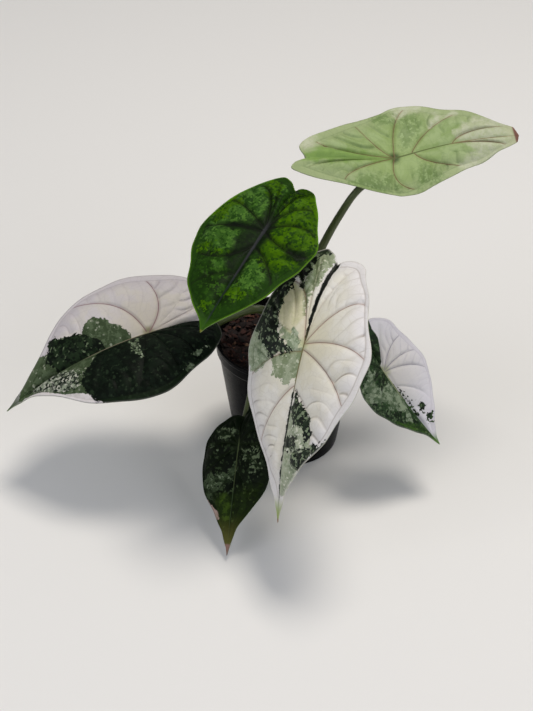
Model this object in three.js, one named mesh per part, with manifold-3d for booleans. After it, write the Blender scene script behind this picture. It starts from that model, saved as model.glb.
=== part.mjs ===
// A potted variegated dragon scale alocasia: six quilted leaves on arching stalks in a 4 inch nursery pot.
// Millimetres, +Z up. The origin is the middle of the pot's flat base, and the front of the plant faces -Y.

import * as THREE from 'three';
import { mergeVertices } from 'three/addons/utils/BufferGeometryUtils.js';
import Module from 'manifold-3d';

const wasm = await Module();
wasm.setup();

// Clear gap between pieces that touch on the real plant
const gap = 0.3;

// Nursery pot, thin moulded plastic
const potHeight = 88;
const rimRadius = 50;
const lipHeight = 11;
const lipStep = 1.6;
const lipDraw = 0.8;
const rimRound = 1;
const baseRadius = 37;
const potWall = 1.2;
const baseThickness = 1.6;
const baseCorner = 2;
const potSides = 48;
const drainHoles = 8;
const drainRadius = 4;
const drainCircle = 27;
const drainSides = 12;
const lipFoot = potHeight - lipHeight;
const neckRadius = rimRadius - lipStep - lipDraw;

// Bark and coco mix
const soilLevel = 84;
const soilCrownRise = 3;
const chipHeight = 2.6;
const soilSides = 36;
const soilRings = 9;

// Crown, the short stem that the stalks grow round
const crownRadius = 6;
const crownTop = 98;
const crownFoot = 52;
const crownSides = 16;

// Stalks
const stalkCircle = 9.8;
const stalkFoot = 66;
const stalkSides = 10;
const stalkSteps = 20;

// Leaf blades
const bladeThickness = 0.9;
const ribThickness = 1.7;
const seatDepth = 2.6;
const veinDepth = 0.9;
const puffHeight = 1.5;
const edgeWave = 1.6;
const edgeWaves = 7;
const ribRounding = 0.08;
const betweenScales = 0.35;
const fullRelief = 0.5;
const flatByStalk = 0.65;
const ribFade = 1.6;
const bluntShare = 0.3;
const bladeColumns = 7;
const panelsBetweenVeins = 2;

const plastic = new THREE.MeshStandardMaterial({ color: 0x17171a, roughness: 0.3, metalness: 0 });
const bark = new THREE.MeshStandardMaterial({ color: 0x3a2218, roughness: 0.95, metalness: 0 });
const stalkGreen = new THREE.MeshStandardMaterial({ color: 0x6f7d4e, roughness: 0.5, metalness: 0 });
const crownGreen = new THREE.MeshStandardMaterial({ color: 0x6a5b3c, roughness: 0.7, metalness: 0 });

// Each leaf hangs from `at`, where the stalk meets the blade. Angles are in degrees: heading turns the tip
// round +Z from +X, pitch drops it below level and roll lifts its left half. reach and lobe are the lengths
// ahead of and behind the stalk, notch is the part of the lobe where the two lobes have grown together, and
// half is half the width. droop and lobeDroop bend the midrib down, fold raises the halves beside the midrib,
// arch turns them down again towards the edge, and twist turns the tip. skew and lobeSkew make the left half
// wider and the left lobe longer, shoulder is the lobes' width and tipFull how full the blade is by its tip.
// The top leaf's midrib bows to its left by up to `bow` in the blade's own plane. Its outline is wider by the
// tip, tipWidth times, and the tip is blunt: it is pressed back from bluntFrom, a part of reach, onwards.
const leaves = {
  top: {
    at: [69.4, 20, 215.3], heading: 14.1, pitch: 6.4, roll: 27.9,
    reach: 88.8, lobe: 66.1, notch: 0.92, half: 35, droop: -32, lobeDroop: -5.2,
    fold: -5.2, arch: 5.6, twist: 0, skew: 0.18, lobeSkew: -0.08, shoulder: 0.52, tipFull: 1.41,
    bow: 7.4, tipWidth: 1.73, bluntFrom: 0.92,
    stalk: { base: 40, from: 3.6, to: 2.4 },
    route: [[13, 6, 128], [22.8, 4, 157], [34.3, 8, 179.3], [45.8, 12, 195.8], [60, 17, 204.5]],
    colour: 0xa9bf83,
  },
  back: {
    at: [-15.1, -30, 191.1], heading: -120.4, pitch: 20.4, roll: 1,
    reach: 84.8, lobe: 43.4, notch: 0.92, half: 41.7, droop: 4.3, lobeDroop: 14.2,
    fold: 12.2, arch: 29.4, twist: 0, skew: -0.05, lobeSkew: -0.08, shoulder: 0.54, tipFull: 1.45,
    stalk: { base: 100, from: 3.5, to: 2.3 },
    route: [[-3, 9, 128], [-7, 0, 158], [-12, -17, 178]],
    colour: 0x2e5a23,
  },
  front: {
    at: [8.6, -90, 144.6], heading: -112.1, pitch: 49.2, roll: 25.4,
    reach: 113.2, lobe: 60.8, notch: 0.93, half: 50.1, droop: 17.7, lobeDroop: 28.5,
    fold: 9.5, arch: 18, twist: 22.5, skew: 0.1, lobeSkew: -0.03, shoulder: 0.55, tipFull: 0.86,
    stalk: { base: -80, from: 3.6, to: 2.4 },
    route: [[5, -20, 120], [10, -45, 136], [14, -70, 141]],
    colour: 0xe9e2d2,
  },
  left: {
    at: [-93.7, -20, 104.6], heading: 198.9, pitch: 8.5, roll: -15.2,
    reach: 114.3, lobe: 50.1, notch: 0.88, half: 52.4, droop: 36.7, lobeDroop: 19.6,
    fold: 24.4, arch: 42.5, twist: 7.5, skew: 0.03, lobeSkew: -0.11, shoulder: 0.62, tipFull: 0.63,
    stalk: { base: 160, from: 3.5, to: 2.3 },
    route: [[-12.5, 3, 104], [-21, 1, 109], [-39.4, 0, 103], [-56, -4, 96], [-76, -12, 94]],
    colour: 0xcfc8c4,
  },
  right: {
    at: [65, -40, 86.3], heading: -22.7, pitch: 54.5, roll: 24.2,
    reach: 64.3, lobe: 35.7, notch: 0.92, half: 28.9, droop: -16.1, lobeDroop: 0,
    fold: 25.1, arch: 32.3, twist: 0, skew: 0.05, lobeSkew: -0.02, shoulder: 0.73, tipFull: 0.93,
    stalk: { base: -20, from: 2.9, to: 1.9 },
    route: [[18, -10, 104], [32, -18.5, 105], [45, -26.5, 97], [55, -32, 86.5]],
    colour: 0xc9c6c8,
  },
  low: {
    at: [-33.1, -80, 55.4], heading: -99.2, pitch: 42.1, roll: 28.1,
    reach: 72.9, lobe: 24.1, notch: 0.83, half: 29.2, droop: 3.9, lobeDroop: 15.2,
    fold: 9.2, arch: 26.9, twist: -3.8, skew: 0, lobeSkew: 0.22, shoulder: 0.6, tipFull: 0.72,
    stalk: { base: -140, from: 2.7, to: 1.5 },
    route: [[-11, -20, 105], [-17, -38, 106], [-22.5, -51, 93], [-26, -57.5, 77], [-29.3, -63, 62]],
    colour: 0x34502b,
  },
};

// Where each vein leaves the midrib, the point that it bends towards and where it ends at the edge. from is
// in parts of reach, bend in parts of half the width and of reach, or of lobe where it lies behind the stalk,
// and to counts outline points. The first is the seam between the lobes, the next three start at the stalk,
// and the last is the tip.
const veins = [
  { from: 0, bend: [0, -0.5], to: 0 },
  { from: 0, bend: [0.1, -0.62], to: 1.9 },
  { from: 0, bend: [0.34, -0.55], to: 3.75 },
  { from: 0, bend: [0.5, -0.16], to: 5.05 },
  { from: 0.03, bend: [0.5, 0.1], to: 6.3 },
  { from: 0.22, bend: [0.36, 0.34], to: 7.7 },
  { from: 0.46, bend: [0.2, 0.53], to: 8.9 },
  { from: 0.68, bend: [0.08, 0.74], to: 10.1 },
  { from: 1, bend: [0, 1], to: 11 },
];
const outlinePoints = 11;

const radians = THREE.MathUtils.degToRad;
const lerp = THREE.MathUtils.lerp;

// Merged vertices with position only, and no triangle that has lost its area
function weld(geometry) {
  const bare = geometry.index ? geometry.toNonIndexed() : geometry;
  bare.deleteAttribute('normal');
  bare.deleteAttribute('uv');
  const merged = mergeVertices(bare, 1e-3);
  const index = merged.index.array;
  const kept = [];
  for (let i = 0; i < index.length; i += 3) {
    const [a, b, c] = [index[i], index[i + 1], index[i + 2]];
    if (a !== b && b !== c && c !== a) kept.push(a, b, c);
  }
  merged.setIndex(kept);
  return merged;
}

function toSolid(geometry) {
  const welded = weld(geometry);
  return new wasm.Manifold(new wasm.Mesh({
    numProp: 3,
    vertProperties: new Float32Array(welded.attributes.position.array),
    triVerts: new Uint32Array(welded.index.array),
  }));
}

function toGeometry(solid) {
  const mesh = solid.getMesh();
  const geometry = new THREE.BufferGeometry();
  geometry.setAttribute('position', new THREE.BufferAttribute(new Float32Array(mesh.vertProperties), 3));
  geometry.setIndex(Array.from(mesh.triVerts));
  return geometry;
}

function geometryOf(corners) {
  const geometry = new THREE.BufferGeometry();
  geometry.setAttribute('position', new THREE.Float32BufferAttribute(corners.flat(), 3));
  return weld(geometry);
}

// A lathe about +Z from [radius, height] pairs that start and end on the axis or close on themselves
function lathe(profile, sides) {
  const points = profile.map(([radius, height]) => new THREE.Vector2(radius, height));
  return new THREE.LatheGeometry(points, sides).rotateX(Math.PI / 2);
}

// A closed solid through rings of points, with a flat fan over each end
function skin(rings) {
  const corners = [];
  const count = rings[0].length;
  const middle = (ring) => [0, 1, 2].map((axis) => ring.reduce((sum, p) => sum + p[axis], 0) / ring.length);
  for (let r = 0; r + 1 < rings.length; r += 1) {
    for (let i = 0; i < count; i += 1) {
      const j = (i + 1) % count;
      corners.push(rings[r][i], rings[r][j], rings[r + 1][j]);
      corners.push(rings[r][i], rings[r + 1][j], rings[r + 1][i]);
    }
  }
  const first = rings[0];
  const last = rings[rings.length - 1];
  for (let i = 0; i < count; i += 1) {
    const j = (i + 1) % count;
    corners.push(middle(first), first[j], first[i]);
    corners.push(middle(last), last[i], last[j]);
  }
  return geometryOf(corners);
}

// Catmull-Rom point on one half of a blade's flat outline: x is across and y is towards the tip
function outlinePoint(leaf, side, to) {
  const half = leaf.half * (1 + side * leaf.skew);
  const lobe = leaf.lobe * (1 + side * leaf.lobeSkew);
  const notch = leaf.notch * leaf.lobe;
  const { reach, shoulder, tipFull, tipWidth = 1 } = leaf;
  const points = [
    [0, -notch],
    [0.16 * half, -0.5 * (notch + lobe) - 0.05 * lobe],
    [0.62 * shoulder * half, -lobe],
    [shoulder * half, -0.76 * lobe],
    [(0.52 + 0.48 * shoulder) * half, -0.36 * lobe],
    [half, 0.05 * reach],
    [0.95 * half, 0.25 * reach],
    [0.77 * half, 0.45 * reach],
    [0.5 * half * (0.5 + 0.5 * tipFull), 0.64 * reach],
    [0.25 * half * tipFull, 0.79 * reach],
    [0.08 * half * tipFull * tipWidth, 0.91 * reach],
    [0, reach],
  ];
  const index = Math.min(Math.floor(to), outlinePoints - 1);
  const t = to - index;
  const pick = (i, axis) => {
    if (i < 0) return 2 * points[0][axis] - points[1][axis];
    if (i > outlinePoints) return 2 * points[outlinePoints][axis] - points[outlinePoints - 1][axis];
    return points[i][axis];
  };
  return [0, 1].map((axis) => {
    const [a, b, c, d] = [-1, 0, 1, 2].map((step) => pick(index + step, axis));
    const bend = (2 * a - 5 * b + 4 * c - d) * t ** 2 + (3 * b - a - 3 * c + d) * t ** 3;
    return 0.5 * (2 * b + (c - a) * t + bend);
  });
}

// The leaf's own axes: towards the tip, to its left and up out of its upper face
function leafAxes(leaf) {
  const [heading, pitch, roll] = [leaf.heading, leaf.pitch, leaf.roll].map(radians);
  const tip = new THREE.Vector3(
    Math.cos(pitch) * Math.cos(heading),
    Math.cos(pitch) * Math.sin(heading),
    -Math.sin(pitch),
  );
  const level = new THREE.Vector3(-Math.sin(heading), Math.cos(heading), 0);
  const upright = new THREE.Vector3().crossVectors(tip, level);
  const left = level.clone().multiplyScalar(Math.cos(roll)).addScaledVector(upright, Math.sin(roll));
  const up = upright.multiplyScalar(Math.cos(roll)).addScaledVector(level, -Math.sin(roll));
  return { tip, left, up };
}

// Keeps a blunt tip short: what lies beyond bluntFrom is pressed back to bluntShare of its length
function pressTip({ reach, bluntFrom = 1 }, y) {
  const from = bluntFrom * reach;
  return y > from ? lerp(from, y, bluntShare) : y;
}

// Flat x and y, and a height above the sheet, to a point in space on the folded and drooping blade
function place(leaf, axes, x, y, lift) {
  const bend = y > 0 ? radians(leaf.droop) / leaf.reach : radians(leaf.lobeDroop) / leaf.lobe;
  const curve = Math.abs(bend) < 1e-9 ? 1e-9 : bend;
  const turn = curve * Math.abs(y);
  const ahead = Math.sign(y);
  const fold = radians(leaf.fold);
  const arch = radians(leaf.arch);
  const across = Math.abs(x) / leaf.half;
  const tilt = fold - arch * across;
  const flatHeight = leaf.half * (Math.sin(fold) * across - 0.5 * arch * across * across);
  const flatWidth = Math.abs(x) * (1 - 0.5 * (fold - 0.5 * arch * across) ** 2);
  const lean = tilt * Math.min(1, across / ribRounding);
  const height = flatHeight + lift * Math.cos(lean);
  const width = Math.sign(x) * (flatWidth - lift * Math.sin(lean));
  const twist = radians(leaf.twist) * y / leaf.reach;
  const bow = (leaf.bow ?? 0) * Math.sin(Math.PI * THREE.MathUtils.clamp(y / leaf.reach, 0, 1));
  const b = width * Math.cos(twist) - height * Math.sin(twist) + bow;
  const h = width * Math.sin(twist) + height * Math.cos(twist);
  const a = ahead * (Math.sin(turn) / curve + h * Math.sin(turn));
  const n = h * Math.cos(turn) - (1 - Math.cos(turn)) / curve;
  return new THREE.Vector3(...leaf.at)
    .addScaledVector(axes.tip, a)
    .addScaledVector(axes.left, b)
    .addScaledVector(axes.up, n);
}

// Rows across the blade, one on each vein and the panels' own rows between them
function bladeRows() {
  const rows = [];
  for (let v = 0; v + 1 < veins.length; v += 1) {
    for (let p = 0; p <= panelsBetweenVeins; p += 1) {
      const t = p / (panelsBetweenVeins + 1);
      rows.push({
        from: lerp(veins[v].from, veins[v + 1].from, t),
        to: lerp(veins[v].to, veins[v + 1].to, t),
        vein: p === 0,
        before: veins[v].bend,
        after: veins[v + 1].bend,
        t,
      });
    }
  }
  const tip = veins[veins.length - 1];
  rows.push({ ...tip, vein: true, before: tip.bend, after: tip.bend, t: 0 });
  return rows;
}

// A bend point in millimetres on one half of a blade
function bendPoint(leaf, side, [x, y]) {
  return [x * leaf.half * (1 + side * leaf.skew), y * (y > 0 ? leaf.reach : leaf.lobe)];
}

// Both faces of a row's point number `column`, from the midrib (0) to the edge (bladeColumns)
function bladePoint(leaf, axes, side, row, column) {
  const u = column / bladeColumns;
  const edge = outlinePoint(leaf, side, row.to);
  const start = row.from * leaf.reach;
  const before = bendPoint(leaf, side, row.before);
  const after = bendPoint(leaf, side, row.after);
  const [bendX, bendY] = [lerp(before[0], after[0], row.t), lerp(before[1], after[1], row.t)];
  const x = 2 * u * (1 - u) * bendX + u * u * edge[0];
  const y = pressTip(leaf, (1 - u) ** 2 * start + 2 * u * (1 - u) * bendY + u * u * edge[1]);

  const relief = Math.min(1, Math.hypot(edge[0], edge[1] - start) / (fullRelief * leaf.half));
  const crest = column % 2 === 1 ? 1 : betweenScales;
  const puff = row.vein ? 0 : puffHeight * crest * Math.sin(Math.PI * u) ** 0.6;
  const rib = Math.min(1, ribFade * (1 - row.from)) * (row.vein ? 1 - u * u : (1 - u) ** 4);
  const clearOfStalk = lerp(THREE.MathUtils.smoothstep(u, 0, flatByStalk), 1, Math.min(1, 4 * row.from));
  const atEdge = u ** 4 * Math.sqrt(Math.sin(Math.PI * row.to / outlinePoints));
  const wave = edgeWave * atEdge * Math.sin(2 * Math.PI * edgeWaves * row.to / outlinePoints + side);
  const upper = relief * (clearOfStalk * puff + wave) - veinDepth * rib;

  const atStalk = column === 0 && row.from === 0;
  const thickness = atStalk ? seatDepth : lerp(bladeThickness, ribThickness, rib);
  const across = side * x;
  return [place(leaf, axes, across, y, upper), place(leaf, axes, across, y, upper - thickness)];
}

function blade(leaf) {
  const axes = leafAxes(leaf);
  const rows = bladeRows();
  const corners = [];
  for (const side of [1, -1]) {
    const grid = rows.map((row) => {
      const points = [];
      for (let column = 0; column <= bladeColumns; column += 1) {
        points.push(bladePoint(leaf, axes, side, row, column).map((point) => point.toArray()));
      }
      return points;
    });
    const triangle = (a, b, c, flip) => corners.push(...(flip ? [c, b, a] : [a, b, c]));
    for (let r = 0; r + 1 < rows.length; r += 1) {
      for (let k = 0; k < bladeColumns; k += 1) {
        for (const face of [0, 1]) {
          const [a, b, c, d] = [grid[r][k], grid[r][k + 1], grid[r + 1][k + 1], grid[r + 1][k]]
            .map((point) => point[face]);
          const flip = (side === 1) === (face === 0);
          triangle(a, b, c, flip);
          triangle(a, c, d, flip);
        }
      }
      const [near, far] = [grid[r][bladeColumns], grid[r + 1][bladeColumns]];
      triangle(near[0], near[1], far[1], side === 1);
      triangle(near[0], far[1], far[0], side === 1);
    }
  }
  return geometryOf(corners);
}

// A stalk stands in the mix, arches along its route and meets the blade's underside square on
function stalk(leaf, grow) {
  const { up } = leafAxes(leaf);
  const angle = radians(leaf.stalk.base);
  const foot = [stalkCircle * Math.cos(angle), stalkCircle * Math.sin(angle)];
  const joint = new THREE.Vector3(...leaf.at).addScaledVector(up, -(seatDepth + veinDepth + gap));
  const points = [stalkFoot - grow, soilLevel, soilLevel + 8].map((z) => new THREE.Vector3(...foot, z));
  points.push(...leaf.route.map((point) => new THREE.Vector3(...point)));
  points.push(joint.clone().addScaledVector(up, -4), joint);
  const curve = new THREE.CatmullRomCurve3(points, false, 'centripetal');
  const frames = curve.computeFrenetFrames(stalkSteps, false);
  const rings = [];
  for (let s = 0; s <= stalkSteps; s += 1) {
    const t = s / stalkSteps;
    const centre = curve.getPointAt(t);
    const radius = lerp(leaf.stalk.from, leaf.stalk.to, Math.min(1, t * 1.3)) + grow;
    const ring = [];
    for (let i = 0; i < stalkSides; i += 1) {
      const around = 2 * Math.PI * i / stalkSides;
      ring.push(centre.clone()
        .addScaledVector(frames.normals[s], radius * Math.cos(around))
        .addScaledVector(frames.binormals[s], radius * Math.sin(around))
        .toArray());
    }
    rings.push(ring);
  }
  return skin(rings);
}

// A tapered pot with a stepped lip and drain holes round a solid middle
function pot() {
  const outer = [
    [0, 0],
    [baseRadius - baseCorner, 0],
    [baseRadius, baseCorner],
    [neckRadius, lipFoot],
    [rimRadius - lipDraw, lipFoot + lipStep],
    [rimRadius, potHeight - rimRound],
    [rimRadius - 0.4 * rimRound, potHeight],
  ];
  const inner = [
    [0, baseThickness],
    [baseRadius - potWall - baseCorner, baseThickness],
    [baseRadius - potWall, baseThickness + baseCorner],
    [neckRadius - potWall, lipFoot + lipStep],
    [rimRadius - lipDraw - potWall, lipFoot + 2 * lipStep],
    [rimRadius - potWall - 0.4 * rimRound, potHeight],
  ];
  let solid = toSolid(lathe([...outer, ...inner.reverse()], potSides));
  for (let i = 0; i < drainHoles; i += 1) {
    const angle = 2 * Math.PI * (i + 0.5) / drainHoles;
    const drill = new THREE.CylinderGeometry(drainRadius, drainRadius, 4 * baseThickness, drainSides)
      .rotateX(Math.PI / 2)
      .translate(drainCircle * Math.cos(angle), drainCircle * Math.sin(angle), 0);
    solid = solid.subtract(toSolid(drill));
  }
  return toGeometry(solid);
}

// Height of the mix: a low rise towards the crown, and chips that stand up by a formula of crossed waves
function soilHeight(x, y) {
  const rise = soilCrownRise * (1 - Math.hypot(x, y) / rimRadius);
  const chips = Math.sin(0.62 * x + 1.3 * Math.sin(0.23 * y)) * Math.sin(0.71 * y + 1.1 * Math.sin(0.31 * x));
  return soilLevel + rise + 0.5 * chipHeight * chips;
}

function circle(radius, height) {
  const ring = [];
  for (let i = 0; i < soilSides; i += 1) {
    const angle = 2 * Math.PI * i / soilSides;
    const [x, y] = [radius * Math.cos(angle), radius * Math.sin(angle)];
    ring.push([x, y, height === undefined ? soilHeight(x, y) : height]);
  }
  return ring;
}

// The mix fills the pot, with plain holes for the stalks and the crown
function soil(tools) {
  const clear = potWall + 2 * gap;
  const foot = baseThickness + gap;
  const topRadius = neckRadius - clear;
  const rings = [
    circle(baseRadius - clear - baseCorner, foot),
    circle(baseRadius - clear, foot + 2 * baseCorner),
    circle(topRadius, lipFoot),
  ];
  for (let r = soilRings; r > 0; r -= 1) rings.push(circle(topRadius * r / soilRings));
  let solid = toSolid(skin(rings));
  for (const tool of tools) solid = solid.subtract(toSolid(tool));
  return toGeometry(solid);
}

// Stub of the stem, with a narrower foot in the mix and a blunt top
function crown(grow) {
  const radius = crownRadius - gap + grow;
  return lathe([
    [0, crownFoot - grow],
    [0.55 * radius, crownFoot - grow],
    [0.9 * radius, crownFoot + 12],
    [radius, soilLevel - 6],
    [radius, soilLevel + 6],
    [0.8 * radius, crownTop - 4],
    [0.45 * radius, crownTop - 1],
    [0, crownTop + grow],
  ], crownSides);
}

const plant = new THREE.Group();

function add(name, geometry, material) {
  const mesh = new THREE.Mesh(geometry, material);
  mesh.name = name;
  plant.add(mesh);
}

add('pot', pot(), plastic);
add('soil', soil([crown(gap), ...Object.values(leaves).map((leaf) => stalk(leaf, gap))]), bark);
add('crown', weld(crown(0)), crownGreen);
for (const [name, leaf] of Object.entries(leaves)) {
  add(`petiole_${name}`, stalk(leaf, 0), stalkGreen);
  add(`blade_${name}`, blade(leaf), new THREE.MeshStandardMaterial({ color: leaf.colour, roughness: 0.5 }));
}

export default plant;
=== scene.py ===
import math
import random

import bpy
import bmesh
import numpy as np
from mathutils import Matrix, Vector


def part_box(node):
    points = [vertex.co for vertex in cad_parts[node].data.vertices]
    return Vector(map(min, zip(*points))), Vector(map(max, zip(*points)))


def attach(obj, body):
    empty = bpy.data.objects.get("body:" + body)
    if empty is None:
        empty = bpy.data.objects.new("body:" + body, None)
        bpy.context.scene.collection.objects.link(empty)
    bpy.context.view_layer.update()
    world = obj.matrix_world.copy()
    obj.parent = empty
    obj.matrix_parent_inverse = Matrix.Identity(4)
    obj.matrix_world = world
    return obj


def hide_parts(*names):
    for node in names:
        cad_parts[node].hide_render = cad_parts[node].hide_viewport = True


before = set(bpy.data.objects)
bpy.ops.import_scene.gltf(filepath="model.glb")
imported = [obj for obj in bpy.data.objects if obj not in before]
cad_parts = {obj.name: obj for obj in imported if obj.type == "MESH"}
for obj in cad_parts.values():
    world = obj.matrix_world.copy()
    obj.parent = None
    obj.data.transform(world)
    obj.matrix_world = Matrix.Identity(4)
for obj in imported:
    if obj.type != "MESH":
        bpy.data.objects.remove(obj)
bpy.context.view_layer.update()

metre = 0.001  # one millimetre, in Blender's metres
scene = bpy.context.scene
scene.view_settings.view_transform = "Standard"


# Colours, nodes and meshes

def linearColour(hexText):
    # sRGB hex to the linear colour that the shaders work in
    parts = [int(hexText[i:i + 2], 16) / 255 for i in (1, 3, 5)]
    return tuple(c / 12.92 if c <= 0.04045 else ((c + 0.055) / 1.055) ** 2.4 for c in parts) + (1.0,)


def addNode(tree, kind, settings, links):
    # a link's value is another node (its first output), one of its sockets, or a plain value
    node = tree.nodes.new("ShaderNode" + kind)
    for name, value in settings.items():
        setattr(node, name, value)
    for name, value in links.items():
        source = value.outputs[0] if isinstance(value, bpy.types.Node) else value
        if isinstance(source, bpy.types.NodeSocket):
            tree.links.new(source, node.inputs[name])
        else:
            node.inputs[name].default_value = source
    return node


def newMaterial(name, values):
    # a Principled material, with its plain numbers set on the shader's own sockets
    material = bpy.data.materials.new(name)
    material.use_nodes = True
    shader = material.node_tree.nodes["Principled BSDF"]
    for socket, value in values.items():
        shader.inputs[socket].default_value = value
    return material, material.node_tree, shader


def newPiece(name, points, faces, materials, faceSlots=None):
    mesh = bpy.data.meshes.new(name)
    mesh.from_pydata((np.asarray(points) * metre).tolist(), [], faces)
    for material in materials:
        mesh.materials.append(material)
    if faceSlots is not None:
        mesh.polygons.foreach_set("material_index", faceSlots)
    mesh.polygons.foreach_set("use_smooth", [True] * len(mesh.polygons))
    piece = bpy.data.objects.new(name, mesh)
    scene.collection.objects.link(piece)
    return piece


def addAttribute(piece, name, values):
    values = np.asarray(values, dtype=np.float32)
    kind, field = ("FLOAT", "value") if values.ndim == 1 else ("FLOAT_VECTOR", "vector")
    attribute = piece.data.attributes.new(name, kind, "POINT")
    attribute.data.foreach_set(field, values.ravel())


def dress(piece, slot, *nodes):
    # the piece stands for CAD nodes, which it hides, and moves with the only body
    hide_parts(*nodes)
    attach(piece, "root")


def mix(a, b, t):
    return a + (b - a) * t


def onCircle(radius, angle, *z):
    return (radius * math.cos(angle), radius * math.sin(angle), *z)


def smoothStep(value, low, high):
    t = np.clip((value - low) / (high - low), 0, 1)
    return t * t * (3 - 2 * t)


# Camera: looks down on the plant from the front, as the photograph does, and stands so that the middle of
# the pot's rim falls on the pixel where the photograph has it
camera = {
    "down": 36,  # degrees
    "distance": 960,  # to the middle of the rim, along the view
    "lens": 70,
    "sensor": 36,
    "photoSize": (533, 711),
    "rimPixel": (287, 335),
}
cameraData = bpy.data.cameras.new("camera")
cameraData.lens = camera["lens"]
cameraData.sensor_fit = "VERTICAL"
cameraData.sensor_height = camera["sensor"]
cameraObject = bpy.data.objects.new("camera", cameraData)
down = math.radians(camera["down"])
ahead = Vector((0, math.cos(down), -math.sin(down)))
upward = Vector((0, math.sin(down), math.cos(down)))
pixelMm = camera["distance"] * camera["sensor"] / camera["lens"] / camera["photoSize"][1]
rightMm, belowMm = (
    (pixel - size / 2) * pixelMm for pixel, size in zip(camera["rimPixel"], camera["photoSize"])
)
rimMiddle = Vector((0, 0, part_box("pot")[1].z / metre))
cameraPlace = rimMiddle - camera["distance"] * ahead - Vector((rightMm, 0, 0)) + belowMm * upward
cameraObject.location = cameraPlace * metre
cameraObject.rotation_euler = (math.pi / 2 - down, 0, 0)
scene.collection.objects.link(cameraObject)
scene.camera = cameraObject
print("camera set")


# Leaves: each hangs from `at`, where its stalk meets the blade. heading turns the tip round +Z from +X,
# pitch drops it and roll lifts its left half. reach and lobe are the lengths ahead of and behind the
# stalk, half is half the width, and droop, lobeDroop, fold, arch and twist are the bends, in degrees.
# notch, skew, lobeSkew, shoulder and tipFull shape the outline. The top leaf's midrib bows to its left,
# and its blunt tip is pressed back from bluntFrom, a share of reach, onwards.
leaves = {
    "top": {
        "at": (69.4, 20, 215.3), "heading": 14.1, "pitch": 6.4, "roll": 27.9,
        "reach": 88.8, "lobe": 66.1, "notch": 0.92, "half": 35, "droop": -32, "lobeDroop": -5.2,
        "fold": -5.2, "arch": 5.6, "twist": 0, "skew": 0.18, "lobeSkew": -0.08, "shoulder": 0.52,
        "tipFull": 1.41, "bow": 7.4, "tipWidth": 1.73, "bluntFrom": 0.92,
    },
    "back": {
        "at": (-15.1, -30, 191.1), "heading": -120.4, "pitch": 20.4, "roll": 1,
        "reach": 84.8, "lobe": 43.4, "notch": 0.92, "half": 41.7, "droop": 4.3, "lobeDroop": 14.2,
        "fold": 12.2, "arch": 29.4, "twist": 0, "skew": -0.05, "lobeSkew": -0.08, "shoulder": 0.54,
        "tipFull": 1.45,
    },
    "front": {
        "at": (8.6, -90, 144.6), "heading": -112.1, "pitch": 49.2, "roll": 25.4,
        "reach": 113.2, "lobe": 60.8, "notch": 0.93, "half": 50.1, "droop": 17.7, "lobeDroop": 28.5,
        "fold": 9.5, "arch": 18, "twist": 22.5, "skew": 0.1, "lobeSkew": -0.03, "shoulder": 0.55,
        "tipFull": 0.86, "edgeBulge": 0.9,
    },
    "left": {
        "at": (-93.7, -20, 104.6), "heading": 198.9, "pitch": 8.5, "roll": -15.2,
        "reach": 114.3, "lobe": 50.1, "notch": 0.88, "half": 52.4, "droop": 36.7, "lobeDroop": 19.6,
        "fold": 24.4, "arch": 42.5, "twist": 7.5, "skew": 0.03, "lobeSkew": -0.11, "shoulder": 0.62,
        "tipFull": 0.63,
    },
    "right": {
        "at": (65, -40, 86.3), "heading": -22.7, "pitch": 54.5, "roll": 24.2,
        "reach": 64.3, "lobe": 35.7, "notch": 0.92, "half": 28.9, "droop": -16.1, "lobeDroop": 0,
        "fold": 25.1, "arch": 32.3, "twist": 0, "skew": 0.05, "lobeSkew": -0.02, "shoulder": 0.73,
        "tipFull": 0.93,
    },
    "low": {
        "at": (-33.1, -80, 55.4), "heading": -99.2, "pitch": 42.1, "roll": 28.1,
        "reach": 72.9, "lobe": 24.1, "notch": 0.83, "half": 29.2, "droop": 3.9, "lobeDroop": 15.2,
        "fold": 9.2, "arch": 26.9, "twist": -3.8, "skew": 0, "lobeSkew": 0.22, "shoulder": 0.6,
        "tipFull": 0.72,
    },
}
usualLeaf = {  # what holds for a leaf that says nothing else
    "bow": 0,
    "tipWidth": 1,
    "bluntFrom": 1,
    "edgeBulge": 0.3,  # how far the edge bulges outward by the puffs
}
leaves = {name: {**usualLeaf, **leaf} for name, leaf in leaves.items()}

# Veins of one half: where each leaves the midrib, the point it bends towards, where it ends at the edge
# and how strongly it shows, as (from, bendX, bendY, to, show). from and the bends are shares of the
# leaf's sizes, and to counts outline points. A leaf's own veins stand in for these where they run
# otherwise.
veins = [
    (0, 0, -0.5, 0, 0.7),
    (0, 0.1, -0.62, 1.9, 0.7),
    (0, 0.34, -0.55, 3.75, 1),
    (0, 0.5, -0.16, 5.05, 1),
    (0.03, 0.5, 0.1, 6.3, 1),
    (0.22, 0.36, 0.34, 7.7, 0.9),
    (0.46, 0.2, 0.53, 8.9, 0.35),
    (0.68, 0.08, 0.74, 10.1, 0.15),
    (1, 0, 1, 11, 0.4),
]
panels = len(veins) - 1
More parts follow.
